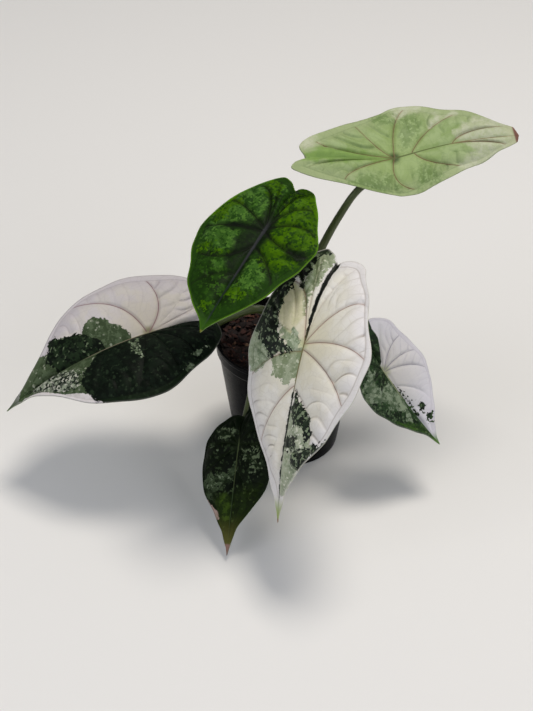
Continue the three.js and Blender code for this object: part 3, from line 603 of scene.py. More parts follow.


# Leaf looks. A coat is one pigment: its two mottled tones, and its veins, fine lines and edge band. Its
# fine lines also paint shade in the grooves along the scale arcs, and its vein colour, round the veins, is
# partly pigment and partly painted shade beside the sunken veins. On the front leaf one sage coat is
# painted lighter than its pigment, as painted light on its margin. The first covers the leaf and the others
# lie on it in patches, each an outline on the flat leaf: x is a share of half the width, positive to the
# leaf's left, and y a share of reach, or of lobe where it is negative. edge is how far a patch's edge
# drifts and how far it breaks into crumbs, in millimetres, and how soft it is. warm and byStalk tint the
# first coat round the stalk, and cool tints it by the edge. A name with Mm is a width, one with Show a
# strength from 0 to 1, and one with From a share of reach.
leafLooks = {
    "front": {
        "warm": "#d3cca8", "byStalk": "#a5b56c", "cool": "#dad7d8", "midrib": "#6f673c",
        "midribEnd": "#10180f", "midribTurn": 0.25, "midribMm": 0.5, "tip": "#8ea348",
        "tipEnd": "#8f5340", "under": "#c9c8b2", "veinMm": 0.32, "shine": 0.3, "rim": "#dddad4",
        "rimShow": 0.5, "arcShadeShow": 0.8, "stalkTint": 0.5, "bandVeinShow": 0.4,
        "coats": {
            "cream": {
                "colour": "#ddd9cc", "mottle": "#e1ded5", "vein": "#94776a", "line": "#8d8174",
                "band": "#e0dddb",
            },
            "sage": {
                "colour": "#7c8968", "mottle": "#9ca58a", "vein": "#85764f", "line": "#66734f",
                "band": "#a2aa90", "fleck": "#c0c4ac", "flecked": 0.6, "edge": (8, 14, 0.4),
                "patches": [
                    [(-0.34, -1.1), (-0.1, -1.1), (-0.07, -0.85), (-0.1, -0.5), (-0.13, -0.28),
                     (-0.24, -0.42), (-0.3, -0.6), (-0.42, -0.75), (-0.45, -0.95)],
                    [(-0.47, -0.15), (-0.3, -0.14), (-0.04, -0.02), (-0.16, 0.05), (-0.45, -0.05)],
                    [(-0.52, 0.1), (-0.14, 0.03), (0, 0.03), (0, 0.14), (-0.04, 0.21), (-0.19, 0.23),
                     (-0.4, 0.19)],
                ],
            },
            "mist": {
                "colour": "#a9b098", "mottle": "#8d987e", "vein": "#9a8a72", "line": "#818c72",
                "band": "#b9beaa", "fleck": "#cfd0c0", "flecked": 0.56, "edge": (5, 9, 0.4),
                "patches": [
                    [(0, 0.36), (0.2, 0.37), (0.45, 0.45), (0.57, 0.55), (0.53, 0.62), (0.44, 0.67),
                     (0.14, 0.7), (0, 0.7)],
                    [(0, 0.68), (0.44, 0.66), (0.31, 0.73), (0.13, 0.83), (0, 0.86)],
                ],
            },
            "butter": {
                "colour": "#cdc9a3", "mottle": "#d6d0b0", "vein": "#8d7650", "line": "#8f8764",
                "band": "#cdc9a3", "edge": (3, 2, 1.6),
                "patches": [
                    [(-0.5, -0.6), (-0.27, -0.52), (-0.12, -0.25), (-0.24, -0.08), (-0.52, -0.17),
                     (-0.56, -0.37)],
                ],
            },
            # painted light: a sage pigment painted lighter than it is, on the margin and by the stalk,
            # where the edge curves away from the lamps
            "mossWithPaintedLight": {
                "colour": "#a6b196", "mottle": "#7b8a6c", "vein": "#7a7458", "line": "#62704f",
                "band": "#9fa98f", "fleck": "#b6bea6", "flecked": 0.56, "edge": (6, 10, 0.5),
                "patches": [
                    [(-1.1, -0.3), (-0.85, -0.28), (-0.62, -0.05), (-0.5, 0.1), (-0.62, 0.17),
                     (-0.78, 0.21), (-1.1, 0.16)],
                    [(-0.2, -0.14), (-0.04, -0.02), (-0.1, 0.06), (-0.3, 0.06)],
                ],
            },
            "dark": {
                "colour": "#080f08", "mottle": "#1a2817", "vein": "#121a10", "line": "#070c07",
                "band": "#26331f", "fleck": "#7b896c", "flecked": 0.55, "edge": (7, 15, 0.25),
                "patches": [
                    [(-0.12, -1.12), (-0.4, -1.05), (-0.57, -0.74), (-0.89, -0.29), (-0.98, -0.05),
                     (-0.68, 0.03), (-0.54, 0.11), (-0.14, 0.05), (-0.43, -0.04), (-0.52, -0.22),
                     (-0.47, -0.51), (-0.45, -0.63), (-0.31, -0.55), (-0.31, -0.86), (-0.18, -0.98)],
                    [(0.05, 0.26), (0.2, 0.3), (0.4, 0.37), (0.5, 0.44), (0.47, 0.5), (0.33, 0.44),
                     (0.2, 0.44), (0.06, 0.4)],
                    [(0.05, 0.5), (0.28, 0.49), (0.32, 0.55), (0.2, 0.58), (0.06, 0.57)],
                    [(0.24, 0.57), (0.42, 0.55), (0.62, 0.53), (0.5, 0.62), (0.4, 0.66), (0.24, 0.63)],
                    [(0.54, 0.52), (0.76, 0.47), (0.76, 0.5), (0.64, 0.57), (0.45, 0.63), (0.56, 0.59)],
                ],
            },
            "seam": {
                "colour": "#060b06", "mottle": "#121b10", "vein": "#060b06", "line": "#060b06",
                "band": "#060b06", "edge": (1.5, 2.5, 0.2),
                "patches": [
                    [(-0.035, -1.1), (0.035, -1.1), (0.05, -0.75), (0.034, -0.3), (0.012, -0.02),
                     (-0.012, -0.02), (-0.024, -0.3), (-0.035, -0.75)],
                    [(-0.014, 0.27), (0.016, 0.27), (0.034, 0.4), (0.036, 0.6), (0.026, 0.8),
                     (0.008, 0.88), (-0.014, 0.8), (-0.02, 0.5)],
                ],
            },
        },
    },
    "left": {
        "warm": "#b4ac98", "byStalk": "#77774a", "cool": "#bab4b8", "midrib": "#7a7460",
        "midribEnd": "#4c583d", "midribTurn": 0.4, "midribMm": 0.36, "tip": "#334a20",
        "tipEnd": "#58722d", "under": "#a8b097", "veinMm": 0.36, "tipFrom": 0.78, "rim": "#a9a7a2",
        "rimShow": 0.18, "shine": 0.07,
        "coats": {
            "lilac": {
                "colour": "#c3beb8", "mottle": "#c1bcbc", "vein": "#785b5f", "line": "#7f777d",
                "band": "#c6c1c3",
            },
            "sage": {
                "colour": "#39462f", "mottle": "#505e45", "vein": "#4e5944", "line": "#2f3b29",
                "band": "#556249", "fleck": "#8d9380", "flecked": 0.61, "edge": (6, 6, 0.3),
                "patches": [
                    [(0, 0.24), (0, 0.92), (0.12, 0.86), (0.3, 0.72), (0.5, 0.6), (0.68, 0.5), (0.7, 0.4),
                     (0.4, 0.34)],
                    [(0, 0.1), (0, 0.34), (-0.16, 0.36), (-0.33, 0.38), (-0.49, 0.3), (-0.42, 0.22),
                     (-0.32, 0.2), (-0.2, 0.13)],
                    [(0, 0.5), (0, 0.92), (-0.1, 0.86), (-0.28, 0.76), (-0.36, 0.66), (-0.3, 0.56)],
                ],
            },
            "dark": {
                "colour": "#080f08", "mottle": "#101a10", "vein": "#030503", "line": "#030503",
                "band": "#14230f", "fleck": "#212d1e", "flecked": 0.58, "edge": (4, 8, 0.25),
                "patches": [
                    [(0, -1.2), (0, -0.3), (0, 0.24), (0.05, 0.33), (0.23, 0.38), (0.46, 0.47),
                     (0.6, 0.45), (0.73, 0.44), (1.1, 0.26), (1.1, -0.1), (0.8, -0.9), (0.4, -1.3)],
                ],
            },
            "upper": {
                "colour": "#0a110a", "mottle": "#1f2d1b", "vein": "#38452f", "line": "#0a100a",
                "band": "#1b2818", "fleck": "#5c6a50", "flecked": 0.6, "edge": (6, 9, 0.25),
                "patches": [
                    [(0, 0.27), (0, 0.57), (-0.22, 0.62), (-0.38, 0.6), (-0.49, 0.58), (-0.49, 0.52),
                     (-0.43, 0.49), (-0.35, 0.38), (-0.27, 0.33), (-0.14, 0.28)],
                    [(0, 0.5), (0, 0.84), (0.05, 0.8), (0.09, 0.6)],
                    [(0.14, 0.56), (0.13, 0.74), (0.16, 0.75), (0.46, 0.56), (0.5, 0.5), (0.46, 0.5)],
                ],
            },
            "speck": {
                "colour": "#5f6d54", "mottle": "#10170f", "vein": "#2c3727", "line": "#2c3727",
                "band": "#3f4d36", "fleck": "#8c967f", "flecked": 0.57, "edge": (2, 13, 0.3),
                "patches": [
                    [(0.07, 0.13), (0.05, 0.07), (0.28, 0.09), (0.45, 0.09), (0.26, 0.13)],
                    [(0.71, -0.25), (0.73, -0.44), (0.82, -0.39), (0.79, -0.26)],
                    [(0.65, -0.39), (0.57, -0.7), (0.52, -0.7), (0.62, -0.44)],
                ],
            },
            "pale": {
                "colour": "#cfcac8", "mottle": "#c6c1bd", "vein": "#9a8f90", "line": "#a39c9f",
                "band": "#d6d2d3", "edge": (2, 2, 0.25),
                "patches": [
                    [(0.06, 0.84), (0.22, 0.7), (0.47, 0.58), (0.66, 0.44), (0.74, 0.43), (1.1, 0.44),
                     (0.8, 0.7), (0.2, 0.98)],
                ],
            },
            "chip": {
                "colour": "#18211a", "mottle": "#8b9480", "vein": "#6f7668", "line": "#59624f",
                "band": "#9aa08f", "fleck": "#aeb0a2", "flecked": 0.545, "edge": (4, 14, 0.2),
                "patches": [
                    [(0.05, 0.78), (0.02, 0.6), (0.19, 0.48), (0.38, 0.45), (0.5, 0.5), (0.4, 0.6),
                     (0.14, 0.74)],
                ],
            },
        },
    },
    "back": {
        "warm": "#15290a", "byStalk": "#161e16", "cool": "#1c380a", "midrib": "#2f3133",
        "midribEnd": "#24302a", "midribTurn": 0.5, "midribMm": 1.2, "tip": "#2f5212", "tipEnd": "#6b6a2c",
        "under": "#8fa374", "veinMm": 0.42, "bandShow": 0.2, "shine": 0.06, "veinTintAndShadeMm": 3.8,
        "veinTintAndShadeShow": 0.62, "rim": "#628f16", "rimShow": 0.75, "arcShadeShow": 0.3,
        "coats": {
            "green": {
                "colour": "#142608", "mottle": "#1f3b0c", "vein": "#12180c", "line": "#0b1605",
                "band": "#26470b", "fleck": "#2e5012", "flecked": 0.53,
            },
            "soft": {
                "colour": "#395d1f", "mottle": "#203e10", "vein": "#121a0b", "line": "#14290a",
                "band": "#2f4f0e", "fleck": "#496e28", "flecked": 0.53, "edge": (14, 20, 1.4),
                "patches": [
                    [(-0.1, -0.9), (-0.5, -0.85), (-0.85, -0.4), (-0.93, 0), (-0.82, 0.3), (-0.5, 0.34),
                     (-0.16, 0.28), (-0.34, 0.04), (-0.2, -0.2)],
                    [(0.13, 0.3), (0.32, 0.33), (0.52, 0.43), (0.49, 0.58), (0.28, 0.62), (0.08, 0.6)],
                    [(-0.45, 0.43), (-0.19, 0.34), (-0.08, 0.34), (-0.14, 0.44), (-0.31, 0.48)],
                ],
            },
            "lime": {
                "colour": "#426700", "mottle": "#335504", "vein": "#182709", "line": "#213d05",
                "band": "#466d04", "fleck": "#1f3d08", "flecked": 0.53, "edge": (13, 20, 0.6),
                "patches": [
                    [(0.04, -1.1), (0.3, -1.05), (0.6, -0.85), (0.78, -0.5), (0.9, -0.2), (0.97, 0.05),
                     (0.85, 0.26), (0.6, 0.34), (0.36, 0.34), (0.12, 0.2), (0.12, -0.1), (0.1, -0.5)],
                    [(-0.46, 0.31), (-0.26, 0.27), (-0.11, 0.22), (-0.11, 0.27), (-0.25, 0.33),
                     (-0.49, 0.35)],
                    [(-0.84, 0.06), (-0.93, -0.13), (-0.84, -0.27), (-0.76, -0.44), (-0.63, -0.35),
                     (-0.64, -0.13), (-0.66, 0.04)],
                    [(-0.79, 0.3), (-0.68, 0.25), (-0.52, 0.28), (-0.55, 0.34), (-0.7, 0.36)],
                    [(0.08, 0.64), (0.13, 0.51), (0.28, 0.58), (0.45, 0.57), (0.47, 0.61), (0.28, 0.7)],
                    [(-0.47, -0.82), (-0.33, -0.91), (-0.16, -0.8), (-0.16, -0.5), (-0.3, -0.55)],
                    [(-0.19, 0.82), (-0.09, 0.75), (-0.1, 0.82)],
                ],
            },
            "dusk": {
                "colour": "#0e1c08", "mottle": "#16290b", "vein": "#131710", "line": "#0b1507",
                "band": "#163009", "edge": (10, 8, 2.6),
                "patches": [
                    [(-0.05, -0.3), (0.05, -0.28), (0.12, -0.1), (0.16, 0.06), (0.1, 0.3), (0.08, 0.5),
                     (0.02, 0.62), (-0.1, 0.5), (-0.28, 0.36), (-0.3, 0.14), (-0.16, -0.05)],
                    [(0.45, 0.1), (0.95, 0.08), (0.9, 0.22), (0.6, 0.2)],
                    [(-0.55, 0.02), (-0.3, 0), (-0.12, 0.06), (-0.4, 0.1), (-0.6, 0.1)],
                ],
            },
        },
    },
    "right": {
        "warm": "#cac5ba", "byStalk": "#9aa070", "cool": "#cfcdd2", "midrib": "#8e9474",
        "midribEnd": "#3f5a2c", "midribTurn": 0.35, "midribMm": 0.5, "tip": "#4a7024",
        "tipEnd": "#5b7030", "under": "#b4baa3", "veinMm": 0.2, "shine": 0.16, "veinTintAndShadeShow": 0.12,
        "veinTintAndShadeMm": 1.6, "rimShow": 0.12, "rim": "#cfcdd2",
        "coats": {
            "lilac": {
                "colour": "#cccbd1", "mottle": "#cfced1", "vein": "#827d8b", "line": "#a8a2ae",
                "band": "#cfcbd2",
            },
            "dark": {
                "colour": "#0f1c0c", "mottle": "#243a1e", "vein": "#0e170b", "line": "#0c1509",
                "band": "#2b461c", "fleck": "#4d5f43", "flecked": 0.57, "edge": (3, 15, 0.25),
                "patches": [
                    [(0, -1.2), (0, 1.1), (-1.2, 0.6), (-1.2, -0.8)],
                    [(0.22, 0.49), (0.29, 0.55), (0.31, 0.61), (0.21, 0.61), (0.16, 0.56)],
                    [(0.16, 0.64), (0.32, 0.69), (0.22, 0.77), (0.14, 0.73)],
                    [(0.03, 0.2), (0.06, 0.24), (0.09, 0.38), (0.07, 0.44), (0.05, 0.62), (0.03, 0.62)],
                ],
            },
            "sage": {
                "colour": "#7b8871", "mottle": "#42533b", "vein": "#4a5843", "line": "#46543e",
                "band": "#5b6c49", "edge": (6, 10, 0.4),
                "patches": [
                    [(-0.45, -0.3), (-0.35, -0.11), (-0.56, -0.02), (-0.46, 0.1), (-0.06, 0.13),
                     (-0.02, 0.37), (-0.1, 0.5), (-0.4, 0.43), (-0.61, 0.32), (-0.48, 0.22), (-0.7, 0.21),
                     (-0.97, 0.09), (-0.87, 0), (-0.92, -0.11)],
                    [(-0.05, 0.4), (-0.2, 0.55), (-0.3, 0.63), (-0.42, 0.54), (-0.24, 0.45)],
                ],
            },
            "lime": {
                "colour": "#2f4a1a", "mottle": "#1d3012", "vein": "#243416", "line": "#223614",
                "band": "#3a581e", "fleck": "#55663f", "flecked": 0.58, "edge": (5, 10, 0.4),
                "patches": [
                    [(-0.68, 0.45), (-0.25, 0.64), (0, 0.77), (0.03, 0.88), (-0.36, 0.68), (-0.63, 0.52)],
                ],
            },
            "inner": {
                "colour": "#10200c", "mottle": "#1d3317", "vein": "#0e170b", "line": "#0c1509",
                "band": "#1d3317", "fleck": "#33482b", "flecked": 0.58, "edge": (0.6, 0.8, 0.3),
                "patches": [
                    [(0, -1.2), (0, -0.02), (0.06, -0.19), (0.15, -0.36), (0.23, -0.5), (0.28, -0.63),
                     (0.29, -0.74), (0.28, -0.85), (0.38, -1.2)],
                ],
            },
        },
    },
    "low": {
        "warm": "#0a1207", "byStalk": "#1a2212", "cool": "#0b1407", "midrib": "#4a5436",
        "midribEnd": "#3f4f36", "midribTurn": 0.4, "midribMm": 0.45, "tip": "#5c5b2b",
        "tipEnd": "#8a6c64", "under": "#6f8060", "veinMm": 0.4, "shine": 0.06, "tipFrom": 0.6,
        "tipEndFrom": 0.9, "rim": "#0b1407",
        "coats": {
            "green": {
                "colour": "#060c04", "mottle": "#10190a", "vein": "#141e0c", "line": "#040803",
                "band": "#101b09", "fleck": "#3f4e33", "flecked": 0.56,
            },
            "sage": {
                "colour": "#414f37", "mottle": "#1a2513", "vein": "#283420", "line": "#222d1a",
                "band": "#2e3b25", "fleck": "#6d7a61", "flecked": 0.58, "edge": (6, 14, 0.35),
                "patches": [
                    [(-0.82, 0), (-0.62, 0.02), (-0.51, 0.06), (-0.67, 0.05), (-0.81, 0.02)],
                    [(-0.64, 0.27), (-0.19, 0.25), (-0.03, 0.17), (0.04, 0.24), (-0.17, 0.38),
                     (-0.36, 0.41), (-0.7, 0.44), (-0.86, 0.35)],
                    [(-0.7, 0.47), (-0.52, 0.47), (-0.39, 0.52), (-0.49, 0.54), (-0.65, 0.5)],
                ],
            },
            "thread": {
                "colour": "#0a1206", "mottle": "#1f2b18", "vein": "#1d2816", "line": "#141d0e",
                "band": "#162010", "fleck": "#5d6a50", "flecked": 0.54, "edge": (6, 12, 0.5),
                "patches": [
                    [(0.04, 0.02), (0.6, 0.02), (0.76, 0.16), (0.6, 0.28), (0.3, 0.2), (0.1, 0.1)],
                    [(-0.14, 0.6), (0.05, 0.57), (0.08, 0.67), (-0.08, 0.68)],
                    [(-0.7, -0.5), (-0.2, -0.6), (-0.1, -0.3), (-0.5, -0.1)],
                ],
            },
            "olive": {
                "colour": "#121c07", "mottle": "#1b2909", "vein": "#1a2509", "line": "#121b07",
                "band": "#1e2c0b", "fleck": "#3c4b25", "flecked": 0.6, "edge": (10, 8, 5),
                "patches": [
                    [(-0.5, 0.5), (-0.1, 0.44), (0.7, 0.34), (0.7, 0.6), (0.3, 0.85), (-0.3, 0.85)],
                ],
            },
            "lime": {
                "colour": "#374c15", "mottle": "#1c2b0b", "vein": "#263610", "line": "#26370f",
                "band": "#2f4414", "edge": (6, 8, 2.4),
                "patches": [
                    [(-0.4, 0.5), (-0.24, 0.45), (-0.12, 0.45), (-0.06, 0.54), (0, 0.72), (-0.2, 0.72)],
                ],
            },
            "pink": {
                "colour": "#a98f86", "mottle": "#8d7a6c", "vein": "#7d6a5c", "line": "#85736a",
                "band": "#ad968d", "edge": (3, 6, 0.3),
                "patches": [
                    [(-0.68, 0.51), (-0.52, 0.56), (-0.32, 0.63), (-0.28, 0.68), (-0.36, 0.68),
                     (-0.57, 0.58)],
                ],
            },
        },
    },
    "top": {
        "warm": "#8ea364", "byStalk": "#2c4516", "cool": "#98a578", "midrib": "#4f5c2a",
        "midribEnd": "#7c6747", "midribTurn": 0.45, "midribMm": 0.6, "tip": "#a9ad88",
        "tipEnd": "#6d3a35", "under": "#9fac82", "tipFrom": 0.8, "tipEndFrom": 0.915, "veinMm": 0.32,
        "shine": 0.25, "arcShadeShow": 0.5, "bandShow": 0.15, "rim": "#aab38c", "rimShow": 0.2,
        "veinTintAndShadeShow": 0.16, "stalkTint": 0.95, "meshShow": 0.16,
        "coats": {
            "pale": {
                "colour": "#859a60", "mottle": "#93a671", "vein": "#6b5036", "line": "#566941",
                "band": "#9dab7b",
            },
            "white": {
                "colour": "#b3b89b", "mottle": "#a8b08c", "vein": "#7b5f48", "line": "#8c9570",
                "band": "#bcc1a5", "edge": (14, 5, 3),
                "patches": [
                    [(0.2, -1.1), (0.45, -1.1), (0.5, -0.83), (0.27, -0.83), (0.15, -0.92)],
                    [(0.42, 0.6), (0.16, 0.5), (-0.1, 0.56), (-0.3, 0.62), (-0.6, 0.45), (-0.9, 0.5),
                     (-0.5, 1.1), (0.5, 1.1)],
                    [(1.15, 0.1), (0.9, 0.36), (0.78, 0.22), (0.7, 0.12), (0.8, 0.06)],
                    [(0.7, 0.38), (0.62, 0.54), (0.5, 0.43), (0.4, 0.33), (0.54, 0.36)],
                ],
            },
            "lime": {
                "colour": "#79964c", "mottle": "#739049", "vein": "#665634", "line": "#6f8948",
                "band": "#8aa35f", "edge": (8, 4, 2.2),
                "patches": [
                    [(-0.1, -1), (0.08, -1), (0.2, -0.8), (0.15, -0.4), (0.02, -0.04), (-0.06, -0.04),
                     (-0.1, -0.46)],
                    [(-0.85, -0.1), (-0.5, -0.3), (-0.6, -0.5), (-0.95, -0.4)],
                ],
            },
            "shade": {
                "colour": "#788d57", "mottle": "#6f864e", "vein": "#5c4a32", "line": "#4c6038",
                "band": "#8a9a6c", "fleck": "#8ca169", "flecked": 0.54, "edge": (14, 18, 4),
                "patches": [
                    [(0.98, -0.1), (0.93, 0.08), (0.64, 0.06), (0.7, -0.12)],
                    [(0.73, 0.12), (0.76, 0.24), (0.46, 0.27), (0.1, 0.14), (0.16, 0.05)],
                    [(-0.63, -0.56), (-0.4, -0.37), (-0.5, -0.07), (-0.78, 0.03), (-0.95, -0.16),
                     (-0.8, -0.4)],
                    [(-0.36, 0.22), (-0.45, 0.14), (-0.9, 0.14), (-0.9, 0.32), (-0.55, 0.34)],
                ],
            },
        },
    },
}

# what holds for a leaf whose look says nothing else
usualLook = {
    "shine": 0.4, "stalkTint": 0.8, "tipFrom": 0.84, "tipEndFrom": 0.98, "bandShow": 0.45, "rimShow": 0.3,
    "bandVeinShow": 0.25, "arcShadeShow": 0.5, "meshShow": 0.1, "veinTintAndShadeMm": 2.4, "veinTintAndShadeShow": 0.22,
}

leafTexture = {
    "crumb": 1.1,  # of the crisp blocks that a patch's edge breaks into, between the finest veins
    "crumbs": 3.6,  # of the clusters of blocks along a patch's edge, in its flecks and in its tone
    "flecks": 2.8,
    "tone": 4.5,
    "cloud": 9.0,  # of the wide drifts in the tint
    "drift": 7.0,  # of the wander in a patch's edge
    "wideNet": 5.5,
    "netCell": 1.2,  # of the finest net of veins, drawn a little coarse so that it shows
    "netHeight": 0.05,
    "grain": 0.35,
    "grainHeight": 0.03,
    "ripples": 5,  # from one scale's arc to the next
    "rippleHeight": 0.03,
    "arcDepth": 0.3,
    "gloss": (0.4, 0.54),
    "dullUnder": 0.18,  # how much rougher the underside is
    "underShare": 0.55,  # how far the underside is covered by its own paler tint
    "ownNoise": 40.0,  # how far apart two leaves read the noise, so that no two are alike
}


def raggedShare(tree, depth, noises, edge):
    # how much of a patch's pigment is at a point: its edge drifts with the wide noise and crumbles with
    # the fine
    driftMm, crumbMm, soft = edge
    broken = depth
    for noise, reach in ((noises["drift"], driftMm), (noises["crumbs"], crumbMm)):
        broken = addNode(tree, "Math", {"operation": "MULTIPLY_ADD"}, {0: noise, 1: reach, 2: broken})
    level = 0.5 * (driftMm + crumbMm)
    return addNode(tree, "MapRange", {"interpolation_type": "SMOOTHSTEP"}, {
        "Value": broken, "From Min": level - soft, "From Max": level + soft,
    })


def coatTones(tree, coat, noises):
    # a coat's colours: its ground is mottled with a second tone, and with flecks where it has them
    tones = {part: linearColour(coat[part]) for part in ("colour", "vein", "line", "band")}
    patchy = addNode(tree, "MapRange", {"interpolation_type": "SMOOTHSTEP"}, {
        "Value": noises["tone" if "patches" in coat else "cloud"], "From Min": 0.44, "From Max": 0.58,
    })
    tones["colour"] = addNode(tree, "MixRGB", {}, {
        "Fac": patchy, "Color1": tones["colour"], "Color2": linearColour(coat["mottle"]),
    })
    if "fleck" in coat:
        flecked = addNode(tree, "MapRange", {}, {
            "Value": noises["flecks"], "From Min": coat["flecked"], "From Max": coat["flecked"] + 0.03,
        })
        tones["colour"] = addNode(tree, "MixRGB", {}, {
            "Fac": flecked, "Color1": tones["colour"], "Color2": linearColour(coat["fleck"]),
        })
    return tones


def leafMaterial(name, look, underShare):
    # Living leaf blade, waxy satin skin: crumbling patches of pigment, a soft gloss and a fine net, with
    # painted shade in the scale grooves and beside the veins.
    # Underneath it is the same leaf, paler and matter, with its pigment showing through.
    look = {**usualLook, **look}
    material, tree, shader = newMaterial(name, {"IOR": 1.42, "Specular IOR Level": look["shine"]})
    keys = ("veinMm", "ribMm", "edgeMm", "bandMm", "scalePhase", "scaleShow", "alongLeaf", "fromStalkMm")
    read = {key: addNode(tree, "Attribute", {"attribute_name": key}, {}).outputs["Fac"] for key in keys}
    place = addNode(tree, "Attribute", {"attribute_name": "leafMm"}, {}).outputs["Vector"]
    crumbAt = addNode(tree, "TexVoronoi", {}, {"Vector": place, "Scale": 1 / leafTexture["crumb"]})
    onCrumb = crumbAt.outputs["Position"]
    noises = {
        key: addNode(tree, "TexNoise", {}, {
            "Vector": at, "Scale": 1 / leafTexture[key], "Detail": detail, "Roughness": rough,
        })
        for key, at, detail, rough in (
            ("cloud", place, 3, 0.5), ("drift", place, 2, 0.5), ("crumbs", onCrumb, 4, 0.75),
            ("flecks", onCrumb, 3, 0.7), ("tone", onCrumb, 4, 0.7), ("grain", place, 2, 0.5),
        )
    }

    # the first coat is tinted by the edge and round the stalk, and the patches of the others lie on it in
    # turn
    painted = {}
    for key, coat in look["coats"].items():
        tones = coatTones(tree, coat, noises)
        if "patches" not in coat:
            painted = tones
            for source, low, high, most, tint in (
                ("edgeMm", 2, 17, 0.8, "cool"), ("fromStalkMm", 5, 40, 0.6, "warm"),
                ("fromStalkMm", 1.5, 6, look["stalkTint"], "byStalk"),
            ):
                share = addNode(tree, "MapRange", {"interpolation_type": "SMOOTHSTEP"}, {
                    "Value": read[source], "From Min": low, "From Max": high, "To Min": most, "To Max": 0,
                })
                painted["colour"] = addNode(tree, "MixRGB", {}, {
                    "Fac": share, "Color1": painted["colour"], "Color2": linearColour(look[tint]),
                })
            continue
        depth = addNode(tree, "Attribute", {"attribute_name": f"{key}Depth"}, {}).outputs["Fac"]
        share = raggedShare(tree, depth, noises, coat["edge"])
        for part, tone in tones.items():
            painted[part] = addNode(tree, "MixRGB", {}, {
                "Fac": share, "Color1": painted[part], "Color2": tone,
            })

    # what is drawn on the ground: each share falls from most to nothing, or rises, between two distances
    fromBand = addNode(tree, "Math", {"operation": "ABSOLUTE"}, {0: read["bandMm"]})
    fromArc = addNode(tree, "Math", {"operation": "PINGPONG"}, {0: read["scalePhase"], 1: 0.5})
    wideNet = addNode(tree, "TexVoronoi", {"feature": "DISTANCE_TO_EDGE"}, {
        "Vector": place, "Scale": 1 / leafTexture["wideNet"],
    })
    along, vein, rib = read["alongLeaf"], look["veinMm"], look["midribMm"]
    shares = {
        key: addNode(tree, "MapRange", {"interpolation_type": "SMOOTHSTEP"}, {
            "Value": value, "From Min": low, "From Max": high, "To Min": start, "To Max": end,
        })
        for key, value, low, high, start, end in (
            ("band", read["bandMm"], -1.4, 0.6, look["bandShow"], 0),
            ("rimLine", read["edgeMm"], 0.2, 1.1, look["rimShow"], 0),
            # painted shade: the grooves along the scale arcs are darkened with the coat's line colour
            ("arc", fromArc, 0, 0.12, look["arcShadeShow"], 0),
            ("mesh", wideNet, 0, 0.06, look["meshShow"], 0),
            ("bandVein", fromBand, 0.1, 0.7, look["bandVeinShow"], 0),
            # round the veins: partly pigment, partly painted shade beside the sunken veins
            ("veinTintAndShade", read["veinMm"], 0.4, look["veinTintAndShadeMm"], look["veinTintAndShadeShow"], 0),
            ("vein", read["veinMm"], 0.5 * vein, 1.5 * vein, 0.85, 0),
            ("ahead", along, -0.12, 0.02, 0, 1),
            ("rib", read["ribMm"], 0.7 * rib, 1.4 * rib, 0.92, 0),
            ("ribEnd", along, look["midribTurn"] - 0.05, look["midribTurn"] + 0.05, 0, 1),
            ("tip", along, look["tipFrom"], 0.95, 0, 0.85),
            ("tipEnd", along, look["tipEndFrom"] - 0.01, look["tipEndFrom"] + 0.005, 0, 0.9),
        )
    }
    arcShare = addNode(tree, "Math", {"operation": "MULTIPLY"}, {0: shares["arc"], 1: read["scaleShow"]})
    ribShare = addNode(tree, "Math", {"operation": "MULTIPLY"}, {0: shares["rib"], 1: shares["ahead"]})
    parts = ("rim", "midrib", "midribEnd", "tip", "tipEnd", "under")
    plain = {part: linearColour(look[part]) for part in parts}
    ribColour = addNode(tree, "MixRGB", {}, {
        "Fac": shares["ribEnd"], "Color1": plain["midrib"], "Color2": plain["midribEnd"],
    })
    layers = [
        (shares["band"], painted["band"]),
        (shares["rimLine"], plain["rim"]),
        (shares["mesh"], painted["line"]),
        # painted shade in the grooves along the scale arcs
        (arcShare, painted["line"]),
        (shares["bandVein"], painted["line"]),
        # the vein colour round the veins, partly pigment and partly painted shade
        (shares["veinTintAndShade"], painted["vein"]),
        (shares["vein"], painted["vein"]),
        (ribShare, ribColour),
        (shares["tip"], plain["tip"]),
        (shares["tipEnd"], plain["tipEnd"]),
    ]
    if underShare:
        layers += [(underShare, plain["under"]), (shares["vein"], painted["vein"])]
    colour = painted["colour"]
    for share, paint in layers:
        colour = addNode(tree, "MixRGB", {}, {"Fac": share, "Color1": colour, "Color2": paint})
    tree.links.new(colour.outputs[0], shader.inputs["Base Color"])

    # relief finer than the mesh: ripples along the scales, the net and the skin's grain
    net = addNode(tree, "TexVoronoi", {"feature": "DISTANCE_TO_EDGE"}, {
        "Vector": place, "Scale": 1 / leafTexture["netCell"],
    })
    turns = addNode(tree, "Math", {"operation": "MULTIPLY"}, {
        0: read["scalePhase"], 1: 2 * math.pi * leafTexture["ripples"],
    })
    ripple = addNode(tree, "Math", {"operation": "SINE"}, {0: turns})
    rippled = addNode(tree, "Math", {"operation": "MULTIPLY"}, {0: ripple, 1: read["scaleShow"]})
    height = addNode(tree, "MapRange", {}, {
        "Value": net, "From Max": 0.14, "To Max": leafTexture["netHeight"],
    })
    for source, high in (
        (rippled, leafTexture["rippleHeight"]), (noises["grain"], leafTexture["grainHeight"]),
        (arcShare, -leafTexture["arcDepth"]),
    ):
        height = addNode(tree, "Math", {"operation": "MULTIPLY_ADD"}, {0: source, 1: high, 2: height})
    bump = addNode(tree, "Bump", {}, {"Height": height, "Strength": 0.8, "Distance": metre})
    tree.links.new(bump.outputs[0], shader.inputs["Normal"])
    dull = leafTexture["dullUnder"] if underShare else 0
    smooth, rough = (level + dull for level in leafTexture["gloss"])
    gloss = addNode(tree, "MapRange", {}, {
        "Value": noises["cloud"], "From Min": 0.3, "From Max": 0.7, "To Min": smooth, "To Max": rough,
    })
    tree.links.new(gloss.outputs[0], shader.inputs["Roughness"])
    return material


